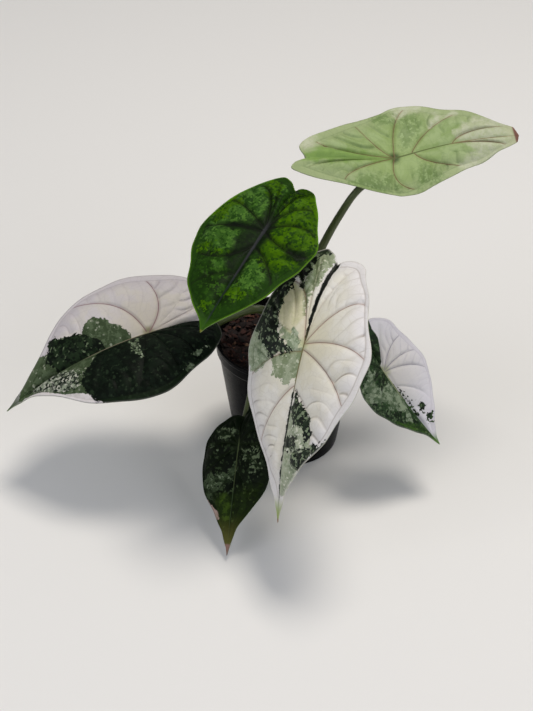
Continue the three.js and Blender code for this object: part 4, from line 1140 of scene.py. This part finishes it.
leafSlots = {
    "top": "leaf_pale", "back": "leaf_green", "front": "leaf_white",
    "left": "leaf_half", "right": "leaf_half", "low": "leaf_green",
}
for seed, (name, leaf) in enumerate(leaves.items(), 1):
    dress(bladePiece(name, leaf, leafLooks[name], seed), leafSlots[name], f"blade_{name}")
print("leaves made")


# Stalks: each stands in the mix by the crown and arches along its route to the blade's underside
stalkShape = {
    "circle": 9.8,  # the radius that their feet stand on
    "foot": 66,
    "soilLevel": 84,
    "upright": 8,  # how far it rises from the mix before it leans
    "lead": 3.7,  # the last stretch below the blade, square to it
    "sunk": 1.1,  # how far it is grown into the blade
    "sides": 28,
    "steps": 120,
    "taper": 1.3,
    "flare": 0.35,  # how much wider it is where it meets the blade
    "flareLength": 2.5,
    "sheathHeight": 34,  # the part that wraps the stem, where the stalk is channelled
    "sheathWider": 0.22,
    "sheathOpen": 0.3,
    "ridges": 9,
    "ridgeHeight": 0.012,  # of the radius
    "ownNoise": 31.0,
    "streak": (0.625, 14.3),  # width and length of a streak in the skin
    "streakColours": ((0.32, "#252e11"), (0.68, "#535f2f")),
    "streakHeight": 0.15,
    "mottle": 4,
    "mottleColour": "#3c4620",
    "footColour": "#352a1b",
    "footTint": (18, 46),  # how far up the foot's colour is full, and where it ends
    "gloss": (0.32, 0.55),
}
# base is the angle round the crown that a stalk stands at, and from and to are its radii
stalks = {
    "top": {
        "base": 40, "from": 3.6, "to": 2.4,
        "route": [(13, 6, 128), (22.8, 4, 157), (34.3, 8, 179.3), (45.8, 12, 195.8), (60, 17, 204.5)],
    },
    "back": {
        "base": 100, "from": 3.5, "to": 2.3, "route": [(-3, 9, 128), (-7, 0, 158), (-12, -17, 178)],
    },
    "front": {
        "base": -80, "from": 3.6, "to": 2.4, "route": [(5, -20, 120), (10, -45, 136), (14, -70, 141)],
    },
    "left": {
        "base": 160, "from": 3.5, "to": 2.3,
        "route": [(-12.5, 3, 104), (-21, 1, 109), (-39.4, 0, 103), (-56, -4, 96), (-76, -12, 94)],
    },
    "right": {
        "base": -20, "from": 2.9, "to": 1.9,
        "route": [(18, -10, 104), (32, -18.5, 105), (45, -26.5, 97), (55, -32, 86.5)],
    },
    "low": {
        "base": -140, "from": 2.7, "to": 1.5,
        "route": [(-11, -20, 105), (-17, -38, 106), (-22.5, -51, 93), (-26, -57.5, 77), (-29.3, -63, 62)],
    },
}


def smoothRoute(points, steps):
    # centripetal Catmull-Rom through the points, spaced evenly along its length
    points = [np.array(point, dtype=float) for point in points]
    points = [2 * points[0] - points[1], *points, 2 * points[-1] - points[-2]]
    fine = []
    for a, b, c, d in zip(points, points[1:], points[2:], points[3:]):
        before, span, after = (math.sqrt(np.linalg.norm(step)) for step in (b - a, c - b, d - c))
        leave = ((b - a) / before - (c - a) / (before + span) + (c - b) / span) * span
        arrive = ((c - b) / span - (d - b) / (span + after) + (d - c) / after) * span
        for t in np.linspace(0, 1, 40, endpoint=False):
            fine.append(
                b + leave * t + (3 * (c - b) - 2 * leave - arrive) * t ** 2
                + (2 * (b - c) + leave + arrive) * t ** 3
            )
    fine = np.array([*fine, points[-2]])
    travelled = np.concatenate([[0], np.cumsum(np.linalg.norm(np.diff(fine, axis=0), axis=1))])
    even = np.linspace(0, travelled[-1], steps + 1)
    spaced = np.stack([np.interp(even, travelled, fine[:, axis]) for axis in range(3)], axis=-1)
    return spaced, travelled[-1]


def carriedFrames(centres, firstSide):
    # two directions square to the path, carried along it without turning
    tangents = np.gradient(centres, axis=0)
    tangents /= np.linalg.norm(tangents, axis=1, keepdims=True)
    sideways = np.zeros_like(centres)
    current = np.array(firstSide, dtype=float)
    for i, tangent in enumerate(tangents):
        current = current - tangent * current.dot(tangent)
        current /= np.linalg.norm(current)
        sideways[i] = current
    return sideways, np.cross(tangents, sideways)


def ringFaces(rings, sides):
    faces = []
    for r in range(rings - 1):
        for i in range(sides):
            j = (i + 1) % sides
            faces.append([r * sides + i, r * sides + j, (r + 1) * sides + j, (r + 1) * sides + i])
    return faces + [list(range(sides))[::-1], [(rings - 1) * sides + i for i in range(sides)]]


def stalkPiece(name, leaf, stalk, material):
    shape = stalkShape
    angle = math.radians(stalk["base"])
    _, _, up = leafAxes(leaf)
    joint = np.array(leaf["at"]) - up * (blade["seatDepth"] + blade["veinDepth"])
    heights = (shape["foot"], shape["soilLevel"], shape["soilLevel"] + shape["upright"])
    route = [onCircle(shape["circle"], angle, z) for z in heights]
    route += [*stalk["route"], joint - shape["lead"] * up, joint + shape["sunk"] * up]
    centres, length = smoothRoute(route, shape["steps"])
    sideways, across = carriedFrames(centres, onCircle(1, angle, 0))
    points, strip = [], []
    for step, centre in enumerate(centres):
        share = step / shape["steps"]
        gone, left = share * length, (1 - share) * length
        radius = mix(stalk["from"], stalk["to"], min(1, shape["taper"] * share))
        radius *= 1 + shape["flare"] * math.exp(-left / shape["flareLength"])
        sheath = 1 - smoothStep(gone, 0.5 * shape["sheathHeight"], 1.4 * shape["sheathHeight"])
        for i in range(shape["sides"]):
            around = 2 * math.pi * i / shape["sides"]
            # the sheath is wider across than through, and open on the side of the stem
            wider = shape["sheathWider"] * sheath * abs(math.sin(around))
            opened = shape["sheathOpen"] * sheath * max(0, -math.cos(around)) ** 3
            ridge = 1 + shape["ridgeHeight"] * math.sin(shape["ridges"] * around)
            out, over = onCircle(radius * (1 + wider - opened) * ridge, around)
            points.append(centre + out * sideways[step] + over * across[step])
            strip.append((around * radius, gone, shape["ownNoise"] * len(name)))
    piece = newPiece(name, points, ringFaces(shape["steps"] + 1, shape["sides"]), [material])
    addAttribute(piece, "stalkMm", strip)
    addAttribute(piece, "fromFoot", [along for _, along, _ in strip])
    return piece


def stalkMaterial():
    # Living leaf stalk: olive skin with fine streaks along it, browner by the foot, satin
    shape = stalkShape
    wide, long = shape["streak"]
    material, tree, shader = newMaterial("oliveStalkSkin", {"IOR": 1.45})
    place = addNode(tree, "Attribute", {"attribute_name": "stalkMm"}, {}).outputs["Vector"]
    foot = addNode(tree, "Attribute", {"attribute_name": "fromFoot"}, {}).outputs["Fac"]
    stretched = addNode(tree, "VectorMath", {"operation": "MULTIPLY"}, {
        0: place, 1: (1 / wide, 1 / long, 1),
    })
    streaks = addNode(tree, "TexNoise", {}, {
        "Vector": stretched, "Scale": 1.0, "Detail": 4, "Roughness": 0.65,
    })
    mottle = addNode(tree, "TexNoise", {}, {"Vector": place, "Scale": 1 / shape["mottle"], "Detail": 3})
    ramp = addNode(tree, "ValToRGB", {}, {"Fac": streaks})
    for stop, (position, hexText) in zip(ramp.color_ramp.elements, shape["streakColours"]):
        stop.position, stop.color = position, linearColour(hexText)
    tinted = addNode(tree, "MixRGB", {}, {
        "Fac": mottle, "Color1": ramp, "Color2": linearColour(shape["mottleColour"]),
    })
    tintFrom, tintTo = shape["footTint"]
    low = addNode(tree, "MapRange", {"interpolation_type": "SMOOTHSTEP"}, {
        "Value": foot, "From Min": tintFrom, "From Max": tintTo, "To Min": 0.75, "To Max": 0,
    })
    colour = addNode(tree, "MixRGB", {}, {
        "Fac": low, "Color1": tinted, "Color2": linearColour(shape["footColour"]),
    })
    tree.links.new(colour.outputs[0], shader.inputs["Base Color"])
    bump = addNode(tree, "Bump", {}, {
        "Height": streaks, "Strength": 0.5, "Distance": shape["streakHeight"] * metre,
    })
    tree.links.new(bump.outputs[0], shader.inputs["Normal"])
    smooth, rough = shape["gloss"]
    gloss = addNode(tree, "MapRange", {}, {"Value": mottle, "To Min": smooth, "To Max": rough})
    tree.links.new(gloss.outputs[0], shader.inputs["Roughness"])
    return material


oliveStalk = stalkMaterial()
for name, stalk in stalks.items():
    dress(stalkPiece(f"{name}Stalk", leaves[name], stalk, oliveStalk), "petiole", f"petiole_{name}")
print("stalks made")


# Crown: the short ringed stem, with dry papery sheaths of old leaves round it
crownShape = {
    "foot": 52,
    "top": 98,
    "radius": 5.7,
    "narrowFoot": 0.55,  # of the radius
    "sides": 40,
    "rings": 60,
    "scarSpacing": 4.2,
    "scarDepth": 0.35,
    "sheaths": 5,
    "sheathFoot": 80,
    "sheathHeight": 19,
    "sheathTurn": 1.65,  # radians round the stem, at its foot
    "sheathClear": 0.5,
    "sheathLean": 1.6,  # how far its end leans out
    "sheathThick": 0.35,
    "sheathSteps": 12,
    "sheathColumns": 8,
    "seed": 11,
    # pale and dark colour, and the width and height of the grain
    "stemSkin": ("#7c7347", "#4a3b26", 1.11, 2),
    "sheathPaper": ("#a08558", "#5b3f24", 0.714, 7.7),
    "grainHeight": 0.3,
}


def crownStem():
    shape = crownShape
    points = []
    for ring in range(shape["rings"] + 1):
        share = ring / shape["rings"]
        z = mix(shape["foot"], shape["top"], share)
        narrow = mix(shape["narrowFoot"], 1, min(1, share / 0.35))
        blunt = math.sqrt(max(0.0, 1 - max(0.0, (share - 0.8) / 0.2) ** 2.4))
        scar = shape["scarDepth"] * abs(math.sin(math.pi * z / shape["scarSpacing"])) ** 3
        for i in range(shape["sides"]):
            around = 2 * math.pi * i / shape["sides"]
            lump = 0.25 * math.sin(3 * around + 0.3 * z) + 0.15 * math.sin(7 * around - 0.5 * z)
            radius = max(0.4, (shape["radius"] * narrow + lump - scar) * blunt)
            points.append(onCircle(radius, around, z))
    return points, ringFaces(shape["rings"] + 1, shape["sides"])


def drySheath(base, facing, height):
    # a curled strip of two skins, closed all round, whose points are counted from base
    shape = crownShape
    steps, columns = shape["sheathSteps"], shape["sheathColumns"]
    points, faces = [], []
    for skin in (0, 1):
        for step in range(steps + 1):
            share = step / steps
            turn = shape["sheathTurn"] * math.sqrt(max(0.0, 1 - share ** 1.6)) + 0.03
            for column in range(columns + 1):
                around = facing + turn * (column / columns - 0.5)
                out = shape["radius"] + shape["sheathClear"] + shape["sheathLean"] * share ** 2
                out += 0.3 * math.sin(5 * around + 9 * share) - shape["sheathThick"] * skin
                points.append(onCircle(out, around, shape["sheathFoot"] + height * share))
    row = columns + 1
    layer = (steps + 1) * row
    for step in range(steps):
        for column in range(columns):
            a = base + step * row + column
            b = a + layer
            faces += [[a, a + 1, a + 1 + row, a + row], [b + row, b + row + 1, b + 1, b]]
    for step in range(steps):
        a = base + step * row
        b = a + columns
        faces += [[a, a + row, a + row + layer, a + layer], [b + layer, b + row + layer, b + row, b]]
    for column in range(columns):
        a = base + column
        b = a + steps * row
        faces += [[a, a + layer, a + 1 + layer, a + 1], [b, b + 1, b + 1 + layer, b + layer]]
    return points, faces


def crownPiece():
    shape = crownShape
    draw = random.Random(shape["seed"])
    points, faces = crownStem()
    faceSlots = [0] * len(faces)
    for index in range(shape["sheaths"]):
        facing = 2 * math.pi * (index + draw.uniform(0, 0.5)) / shape["sheaths"]
        height = shape["sheathHeight"] * draw.uniform(0.55, 1)
        sheathPoints, sheathFaces = drySheath(len(points), facing, height)
        points += sheathPoints
        faces += sheathFaces
        faceSlots += [1] * len(sheathFaces)
    return newPiece("ringedCrown", points, faces, crownMaterials(), faceSlots)


def crownMaterials():
    # Living stem with a corky skin, and dry leaf sheath: thin brown paper with long fibres
    found = []
    for name, key in (("corkyStemSkin", "stemSkin"), ("drySheathPaper", "sheathPaper")):
        pale, dark, wide, high = crownShape[key]
        material, tree, shader = newMaterial(name, {"Roughness": 0.75, "IOR": 1.45})
        place = addNode(tree, "NewGeometry", {}, {}).outputs["Position"]
        scaled = addNode(tree, "VectorMath", {"operation": "MULTIPLY"}, {
            0: place, 1: [1 / (size * metre) for size in (wide, wide, high)],
        })
        fibre = addNode(tree, "TexNoise", {}, {
            "Vector": scaled, "Scale": 1.0, "Detail": 5, "Roughness": 0.65,
        })
        share = addNode(tree, "MapRange", {}, {"Value": fibre, "From Min": 0.35, "From Max": 0.65})
        colour = addNode(tree, "MixRGB", {}, {
            "Fac": share, "Color1": linearColour(dark), "Color2": linearColour(pale),
        })
        tree.links.new(colour.outputs[0], shader.inputs["Base Color"])
        bump = addNode(tree, "Bump", {}, {
            "Height": fibre, "Strength": 0.7, "Distance": crownShape["grainHeight"] * metre,
        })
        tree.links.new(bump.outputs[0], shader.inputs["Normal"])
        found.append(material)
    return found


dress(crownPiece(), "crown", "crown")
print("crown made")


# Bark mix: a rough body that fills the pot, with loose chips of bark and coco over its top
mixShape = {
    "wallGap": 0.3,
    "topLevel": 83,
    "rise": 3,  # how much higher it is in the middle
    "rough": 0.8,
    "sides": 96,
    "rings": 22,
    "levels": 30,
    "dent": 0.35,
    "chips": 560,
    "chipLong": (3.5, 9.5),
    "chipThick": (1.2, 3.2),
    "chipWide": (0.45, 0.9),  # of its length
    "chipPoints": 14,
    "chipTilt": 0.3,
    "chipRise": 1.6,
    "chipReach": 46.2,  # how far out the middle of a chip may lie
    "chipOver": 0.6,  # how far past that its end may
    "chipClear": 0.6,  # of its extent, between its middle and the crown or a stalk
    "bodyTone": 0.35,
    "seed": 5,
    "lump": 5,
    "fibre": 1.6,
    "fibreHeight": 0.5,
    "tones": [(0.0, "#090403"), (0.35, "#180b09"), (0.6, "#321812"), (0.8, "#4b2a20"), (0.97, "#7a604a")],
}
# the pot's sizes come before the mix, which is made to fit inside it
potShape = {
    "height": 88,
    "rimRadius": 50,
    "lipHeight": 11,
    "lipStep": 1.6,
    "lipDraw": 0.8,  # how much narrower the lip is at its foot
    "baseRadius": 37,
    "wall": 1.2,
    "base": 1.6,
    "corner": 2,
    "sides": 128,
    "drains": 8,
    "drainRadius": 4,
    "drainCircle": 27,
    "drainSides": 40,
    "plastic": "#060607",
    "dust": "#6a6055",
    "dustShow": 0.03,
    "dustPatch": 14,
    "scuff": (6.25, 2 / 3),  # width and height of a scuff
    "scuffHeight": 0.05,
    "gloss": (0.24, 0.46),
}
lipFoot = potShape["height"] - potShape["lipHeight"]
neckRadius = potShape["rimRadius"] - potShape["lipStep"] - potShape["lipDraw"]


def mixTop(x, y):
    rise = mixShape["rise"] * (1 - math.hypot(x, y) / potShape["rimRadius"])
    rough = math.sin(0.62 * x + 1.3 * math.sin(0.23 * y)) * math.sin(0.71 * y + 1.1 * math.sin(0.31 * x))
    return mixShape["topLevel"] + rise + mixShape["rough"] * rough


def mixBody():
    shape, sides = mixShape, mixShape["sides"]
    foot = potShape["base"] + shape["wallGap"]
    lowRadius = potShape["baseRadius"] - potShape["wall"] - shape["wallGap"]
    topRadius = neckRadius - potShape["wall"] - shape["wallGap"]
    corner = potShape["corner"]
    turns = [2 * math.pi * i / sides for i in range(sides)]
    profile = [(lowRadius - corner, foot), (lowRadius, foot + corner)]
    for step in range(1, shape["levels"] + 1):
        share = step / shape["levels"]
        profile.append((mix(lowRadius, topRadius, share), mix(foot + corner, lipFoot, share)))
    points = [(0, 0, foot)]
    for radius, z in profile:
        for around in turns:
            dent = shape["dent"] * math.sin(9 * around + 0.35 * z) * math.sin(0.5 * z + 4 * around)
            points.append(onCircle(radius - abs(dent), around, z))
    for ring in range(shape["rings"], 0, -1):
        for around in turns:
            x, y = onCircle(topRadius * ring / shape["rings"], around)
            points.append((x, y, mixTop(x, y)))
    points.append((0, 0, mixTop(0, 0)))
    rings = len(profile) + shape["rings"]
    last = 1 + (rings - 1) * sides
    faces = [[0, 1 + (i + 1) % sides, 1 + i] for i in range(sides)]
    faces += [[index + 1 for index in face] for face in ringFaces(rings, sides)[:-2]]
    faces += [[last + i, last + (i + 1) % sides, len(points) - 1] for i in range(sides)]
    return points, faces, [shape["bodyTone"]] * len(points)


def chip(draw):
    # a broken lump of bark: the hull of a few random points, flattened
    shape = mixShape
    long, thick = draw.uniform(*shape["chipLong"]), draw.uniform(*shape["chipThick"])
    wide = long * draw.uniform(*shape["chipWide"])
    lump = bmesh.new()
    for _ in range(shape["chipPoints"]):
        spot = Vector((draw.gauss(0, 1), draw.gauss(0, 1), draw.gauss(0, 1))).normalized()
        lump.verts.new((0.5 * long * spot.x, 0.5 * wide * spot.y, 0.5 * thick * spot.z))
    bmesh.ops.convex_hull(lump, input=lump.verts)
    lump.verts.ensure_lookup_table()
    lump.verts.index_update()
    turn = draw.uniform(0, 2 * math.pi)
    tilt, lean = draw.gauss(0, shape["chipTilt"]), draw.gauss(0, shape["chipTilt"])
    points = []
    for vertex in lump.verts:
        x, y, z = vertex.co
        z += tilt * x + lean * y
        points.append((x * math.cos(turn) - y * math.sin(turn), x * math.sin(turn) + y * math.cos(turn), z))
    faces = [[vertex.index for vertex in face.verts] for face in lump.faces]
    lump.free()
    return points, faces


def barkMixPiece():
    shape = mixShape
    draw = random.Random(shape["seed"])
    points, faces, tones = mixBody()
    feet = [(0, 0, crownShape["radius"])]
    for stalk in stalks.values():
        feet.append(onCircle(stalkShape["circle"], math.radians(stalk["base"]), stalk["from"]))
    laid = 0
    while laid < shape["chips"]:
        radius = shape["chipReach"] * math.sqrt(draw.uniform(0, 1))
        x, y = onCircle(radius, draw.uniform(0, 2 * math.pi))
        chipPoints, chipFaces = chip(draw)
        tone = draw.random()
        extent = max(math.hypot(px, py) for px, py, _ in chipPoints)
        # a chip too near the wall, the crown or a stalk is left out
        if radius + extent > shape["chipReach"] + shape["chipOver"]:
            continue
        clear = shape["chipClear"] * extent
        if any(math.hypot(x - fx, y - fy) < fr + clear for fx, fy, fr in feet):
            continue
        base = len(points)
        z = mixTop(x, y) + draw.uniform(0, shape["chipRise"])
        points += [(px + x, py + y, pz + z) for px, py, pz in chipPoints]
        faces += [[base + corner for corner in face] for face in chipFaces]
        tones += [tone] * len(chipPoints)
        laid += 1
    piece = newPiece("barkMix", points, faces, [barkMaterial()])
    piece.data.set_sharp_from_angle(angle=math.radians(32))
    addAttribute(piece, "chipTone", tones)
    return piece


def barkMaterial():
    # Composted bark and coco chips: matt red-brown lumps of mixed tone, pale broken faces and fine dust
    shape = mixShape
    material, tree, shader = newMaterial("compostedBark", {"Roughness": 0.85, "IOR": 1.4})
    tone = addNode(tree, "Attribute", {"attribute_name": "chipTone"}, {}).outputs["Fac"]
    place = addNode(tree, "NewGeometry", {}, {}).outputs["Position"]
    lumps = addNode(tree, "TexVoronoi", {}, {
        "Vector": place, "Scale": 1 / (shape["lump"] * metre),
    })
    lumpTone = addNode(tree, "SeparateColor", {}, {"Color": lumps.outputs["Color"]})
    fibre = addNode(tree, "TexNoise", {}, {
        "Vector": place, "Scale": 1 / (shape["fibre"] * metre), "Detail": 6, "Roughness": 0.7,
    })
    both = addNode(tree, "Math", {"operation": "MULTIPLY_ADD"}, {0: lumpTone, 1: 0.3, 2: tone})
    mixed = addNode(tree, "Math", {"operation": "MULTIPLY_ADD"}, {0: fibre, 1: 0.5, 2: both})
    ramp = addNode(tree, "ValToRGB", {}, {"Fac": addNode(tree, "MapRange", {}, {
        "Value": mixed, "From Min": 0.2, "From Max": 1.6,
    })})
    stops = ramp.color_ramp.elements
    for position, _ in shape["tones"][2:]:
        stops.new(position)
    for stop, (position, hexText) in zip(stops, shape["tones"]):
        stop.position, stop.color = position, linearColour(hexText)
    tree.links.new(ramp.outputs[0], shader.inputs["Base Color"])
    bump = addNode(tree, "Bump", {}, {
        "Height": fibre, "Strength": 0.9, "Distance": shape["fibreHeight"] * metre,
    })
    tree.links.new(bump.outputs[0], shader.inputs["Normal"])
    return material


dress(barkMixPiece(), "bark_mix", "soil")
print("bark mix laid")


# Pot: thin moulded nursery pot with a stepped lip, turned edges and open drain holes
def roundedProfile(corners, steps=6):
    # [radius, height, rounding] corners, each turned with an arc of that size
    path = []
    for i, (r, z, turn) in enumerate(corners):
        here = np.array((r, z), dtype=float)
        if not turn or i in (0, len(corners) - 1):
            path.append(here)
            continue
        before, after = np.array(corners[i - 1][:2]), np.array(corners[i + 1][:2])
        start = here + (before - here) / np.linalg.norm(before - here) * turn
        end = here + (after - here) / np.linalg.norm(after - here) * turn
        for t in np.linspace(0, 1, steps + 1):
            path.append((1 - t) ** 2 * start + 2 * t * (1 - t) * here + t * t * end)
    return path


def potPiece():
    shape = potShape
    rimRadius, baseRadius = shape["rimRadius"], shape["baseRadius"]
    top, wall = shape["height"], shape["wall"]
    corners = [
        (0, 0, 0),
        (baseRadius - 5.5, 0, 0.6),  # a shallow groove round the underside
        (baseRadius - 4.7, 0.7, 0.4),
        (baseRadius - 2.4, 0.7, 0.4),
        (baseRadius - 1.9, 0, 0.4),
        (baseRadius - 0.2, 0.2, 0.5),
        (baseRadius + 0.5, 4, 1.2),
        (neckRadius, lipFoot, 0.8),
        (rimRadius - shape["lipDraw"], lipFoot + shape["lipStep"], 0.5),
        (rimRadius - 0.35, top - 3.2, 0.3),  # a narrow bead round the rim
        (rimRadius, top - 2.6, 0.3),
        (rimRadius, top, 0.6),
        (rimRadius - wall - 0.4, top, 0.45),
        (rimRadius - shape["lipDraw"] - wall, lipFoot + 2 * shape["lipStep"], 0.6),
        (neckRadius - wall, lipFoot + shape["lipStep"], 0.6),
        (baseRadius - wall, shape["base"] + shape["corner"], 1.4),
        (baseRadius - wall - shape["corner"], shape["base"], 0.8),
        (0, shape["base"], 0),
    ]
    path = roundedProfile(corners)
    rings, sides = len(path) - 2, shape["sides"]
    points = []
    for radius, z in path[1:-1]:
        points += [onCircle(radius, 2 * math.pi * i / sides, z) for i in range(sides)]
    faces = ringFaces(rings, sides)[:-2]
    bottom, inside = len(points), len(points) + 1
    points += [(0, 0, 0), (0, 0, shape["base"])]
    last = (rings - 1) * sides
    for i in range(sides):
        j = (i + 1) % sides
        faces += [[bottom, j, i], [inside, last + i, last + j]]
    pot = newPiece("nurseryPot", points, faces, [potMaterial()])

    # the drain holes are drilled through the base
    drill = bmesh.new()
    for index in range(shape["drains"]):
        radius = shape["drainRadius"] * metre
        made = bmesh.ops.create_cone(
            drill, cap_ends=True, segments=shape["drainSides"],
            radius1=radius, radius2=radius, depth=8 * metre,
        )
        shift = onCircle(shape["drainCircle"], 2 * math.pi * (index + 0.5) / shape["drains"], 0)
        bmesh.ops.translate(drill, verts=made["verts"], vec=Vector(shift) * metre)
    drillMesh = bpy.data.meshes.new("drill")
    drill.to_mesh(drillMesh)
    drill.free()
    cutter = bpy.data.objects.new("drill", drillMesh)
    scene.collection.objects.link(cutter)
    cut = pot.modifiers.new("drains", "BOOLEAN")
    cut.operation = "DIFFERENCE"
    cut.solver = "EXACT"
    cut.object = cutter
    bpy.context.view_layer.update()
    finished = bpy.data.meshes.new_from_object(pot.evaluated_get(bpy.context.evaluated_depsgraph_get()))
    pot.modifiers.clear()
    pot.data = finished
    pot.data.name = "nurseryPot"
    bpy.data.objects.remove(cutter)
    pot.data.polygons.foreach_set("use_smooth", [True] * len(pot.data.polygons))
    pot.data.set_sharp_from_angle(angle=math.radians(38))
    return pot


def potMaterial():
    # Injection moulded polypropylene, smoke tinted: almost black and glossy, with the bark mix dimly seen
    # through it, fine scuffs and a little dust
    shape = potShape
    wide, high = shape["scuff"]
    material, tree, shader = newMaterial("smokePolypropylene", {
        "IOR": 1.49, "Alpha": 0.97, "Specular IOR Level": 0.06,
    })
    place = addNode(tree, "NewGeometry", {}, {}).outputs["Position"]
    dust = addNode(tree, "TexNoise", {}, {
        "Vector": place, "Scale": 1 / (shape["dustPatch"] * metre), "Detail": 6, "Roughness": 0.65,
    })
    stretched = addNode(tree, "VectorMath", {"operation": "MULTIPLY"}, {
        0: place, 1: [1 / (size * metre) for size in (wide, wide, high)],
    })
    scuff = addNode(tree, "TexNoise", {}, {
        "Vector": stretched, "Scale": 1.0, "Detail": 5, "Roughness": 0.7,
    })
    share = addNode(tree, "MapRange", {"interpolation_type": "SMOOTHSTEP"}, {
        "Value": dust, "From Min": 0.5, "From Max": 0.75, "To Max": shape["dustShow"],
    })
    colour = addNode(tree, "MixRGB", {}, {
        "Fac": share, "Color1": linearColour(shape["plastic"]), "Color2": linearColour(shape["dust"]),
    })
    tree.links.new(colour.outputs[0], shader.inputs["Base Color"])
    smooth, rough = shape["gloss"]
    gloss = addNode(tree, "MapRange", {}, {
        "Value": scuff, "From Min": 0.35, "From Max": 0.7, "To Min": smooth, "To Max": rough,
    })
    tree.links.new(gloss.outputs[0], shader.inputs["Roughness"])
    bump = addNode(tree, "Bump", {}, {
        "Height": scuff, "Strength": 0.2, "Distance": shape["scuffHeight"] * metre,
    })
    tree.links.new(bump.outputs[0], shader.inputs["Normal"])
    return material


dress(potPiece(), "pot_plastic", "pot")
print("pot made")


# Floor and light: a plain pale sweep, a soft key lamp high up, a little behind and to the right, and two
# broad fills from the front right and the front left
studio = {
    "floorHalf": 3000,
    "floorColour": "#e6e5e2",
    "world": "#d4d7dc",
    "worldStrength": 0.38,
    # name: (place, size, watts, colour)
    "lamps": {
        "key": ((420, 380, 2300), 700, 31, "#fff8ef"),
        "fill": ((1500, -1700, 1300), 1500, 19, "#f4f5ff"),
        "left": ((-1700, -1300, 1300), 1500, 15, "#f4f6ff"),
    },
    "aim": (-10, -30, 120),
}
floorMesh = bpy.data.meshes.new("floor")
half = studio["floorHalf"] * metre
floorCorners = [(-half, -half, 0), (half, -half, 0), (half, half, 0), (-half, half, 0)]
floorMesh.from_pydata(floorCorners, [], [(0, 1, 2, 3)])
floorPaint = {"Base Color": linearColour(studio["floorColour"]), "Roughness": 0.9}
floorMesh.materials.append(newMaterial("paleStudioPaper", floorPaint)[0])
floor = bpy.data.objects.new("floor", floorMesh)
scene.collection.objects.link(floor)

world = bpy.data.worlds.new("studio")
world.use_nodes = True
background = world.node_tree.nodes["Background"]
background.inputs["Color"].default_value = linearColour(studio["world"])
background.inputs["Strength"].default_value = studio["worldStrength"]
scene.world = world
for name, (place, size, watts, hexText) in studio["lamps"].items():
    lamp = bpy.data.lights.new(name, "AREA")
    lamp.size = size * metre
    lamp.energy = watts
    lamp.color = linearColour(hexText)[:3]
    lampObject = bpy.data.objects.new(name, lamp)
    lampObject.location = Vector(place) * metre
    aim = (Vector(studio["aim"]) - Vector(place)).to_track_quat("-Z", "Y")
    lampObject.rotation_euler = aim.to_euler()
    scene.collection.objects.link(lampObject)
print("studio lit")
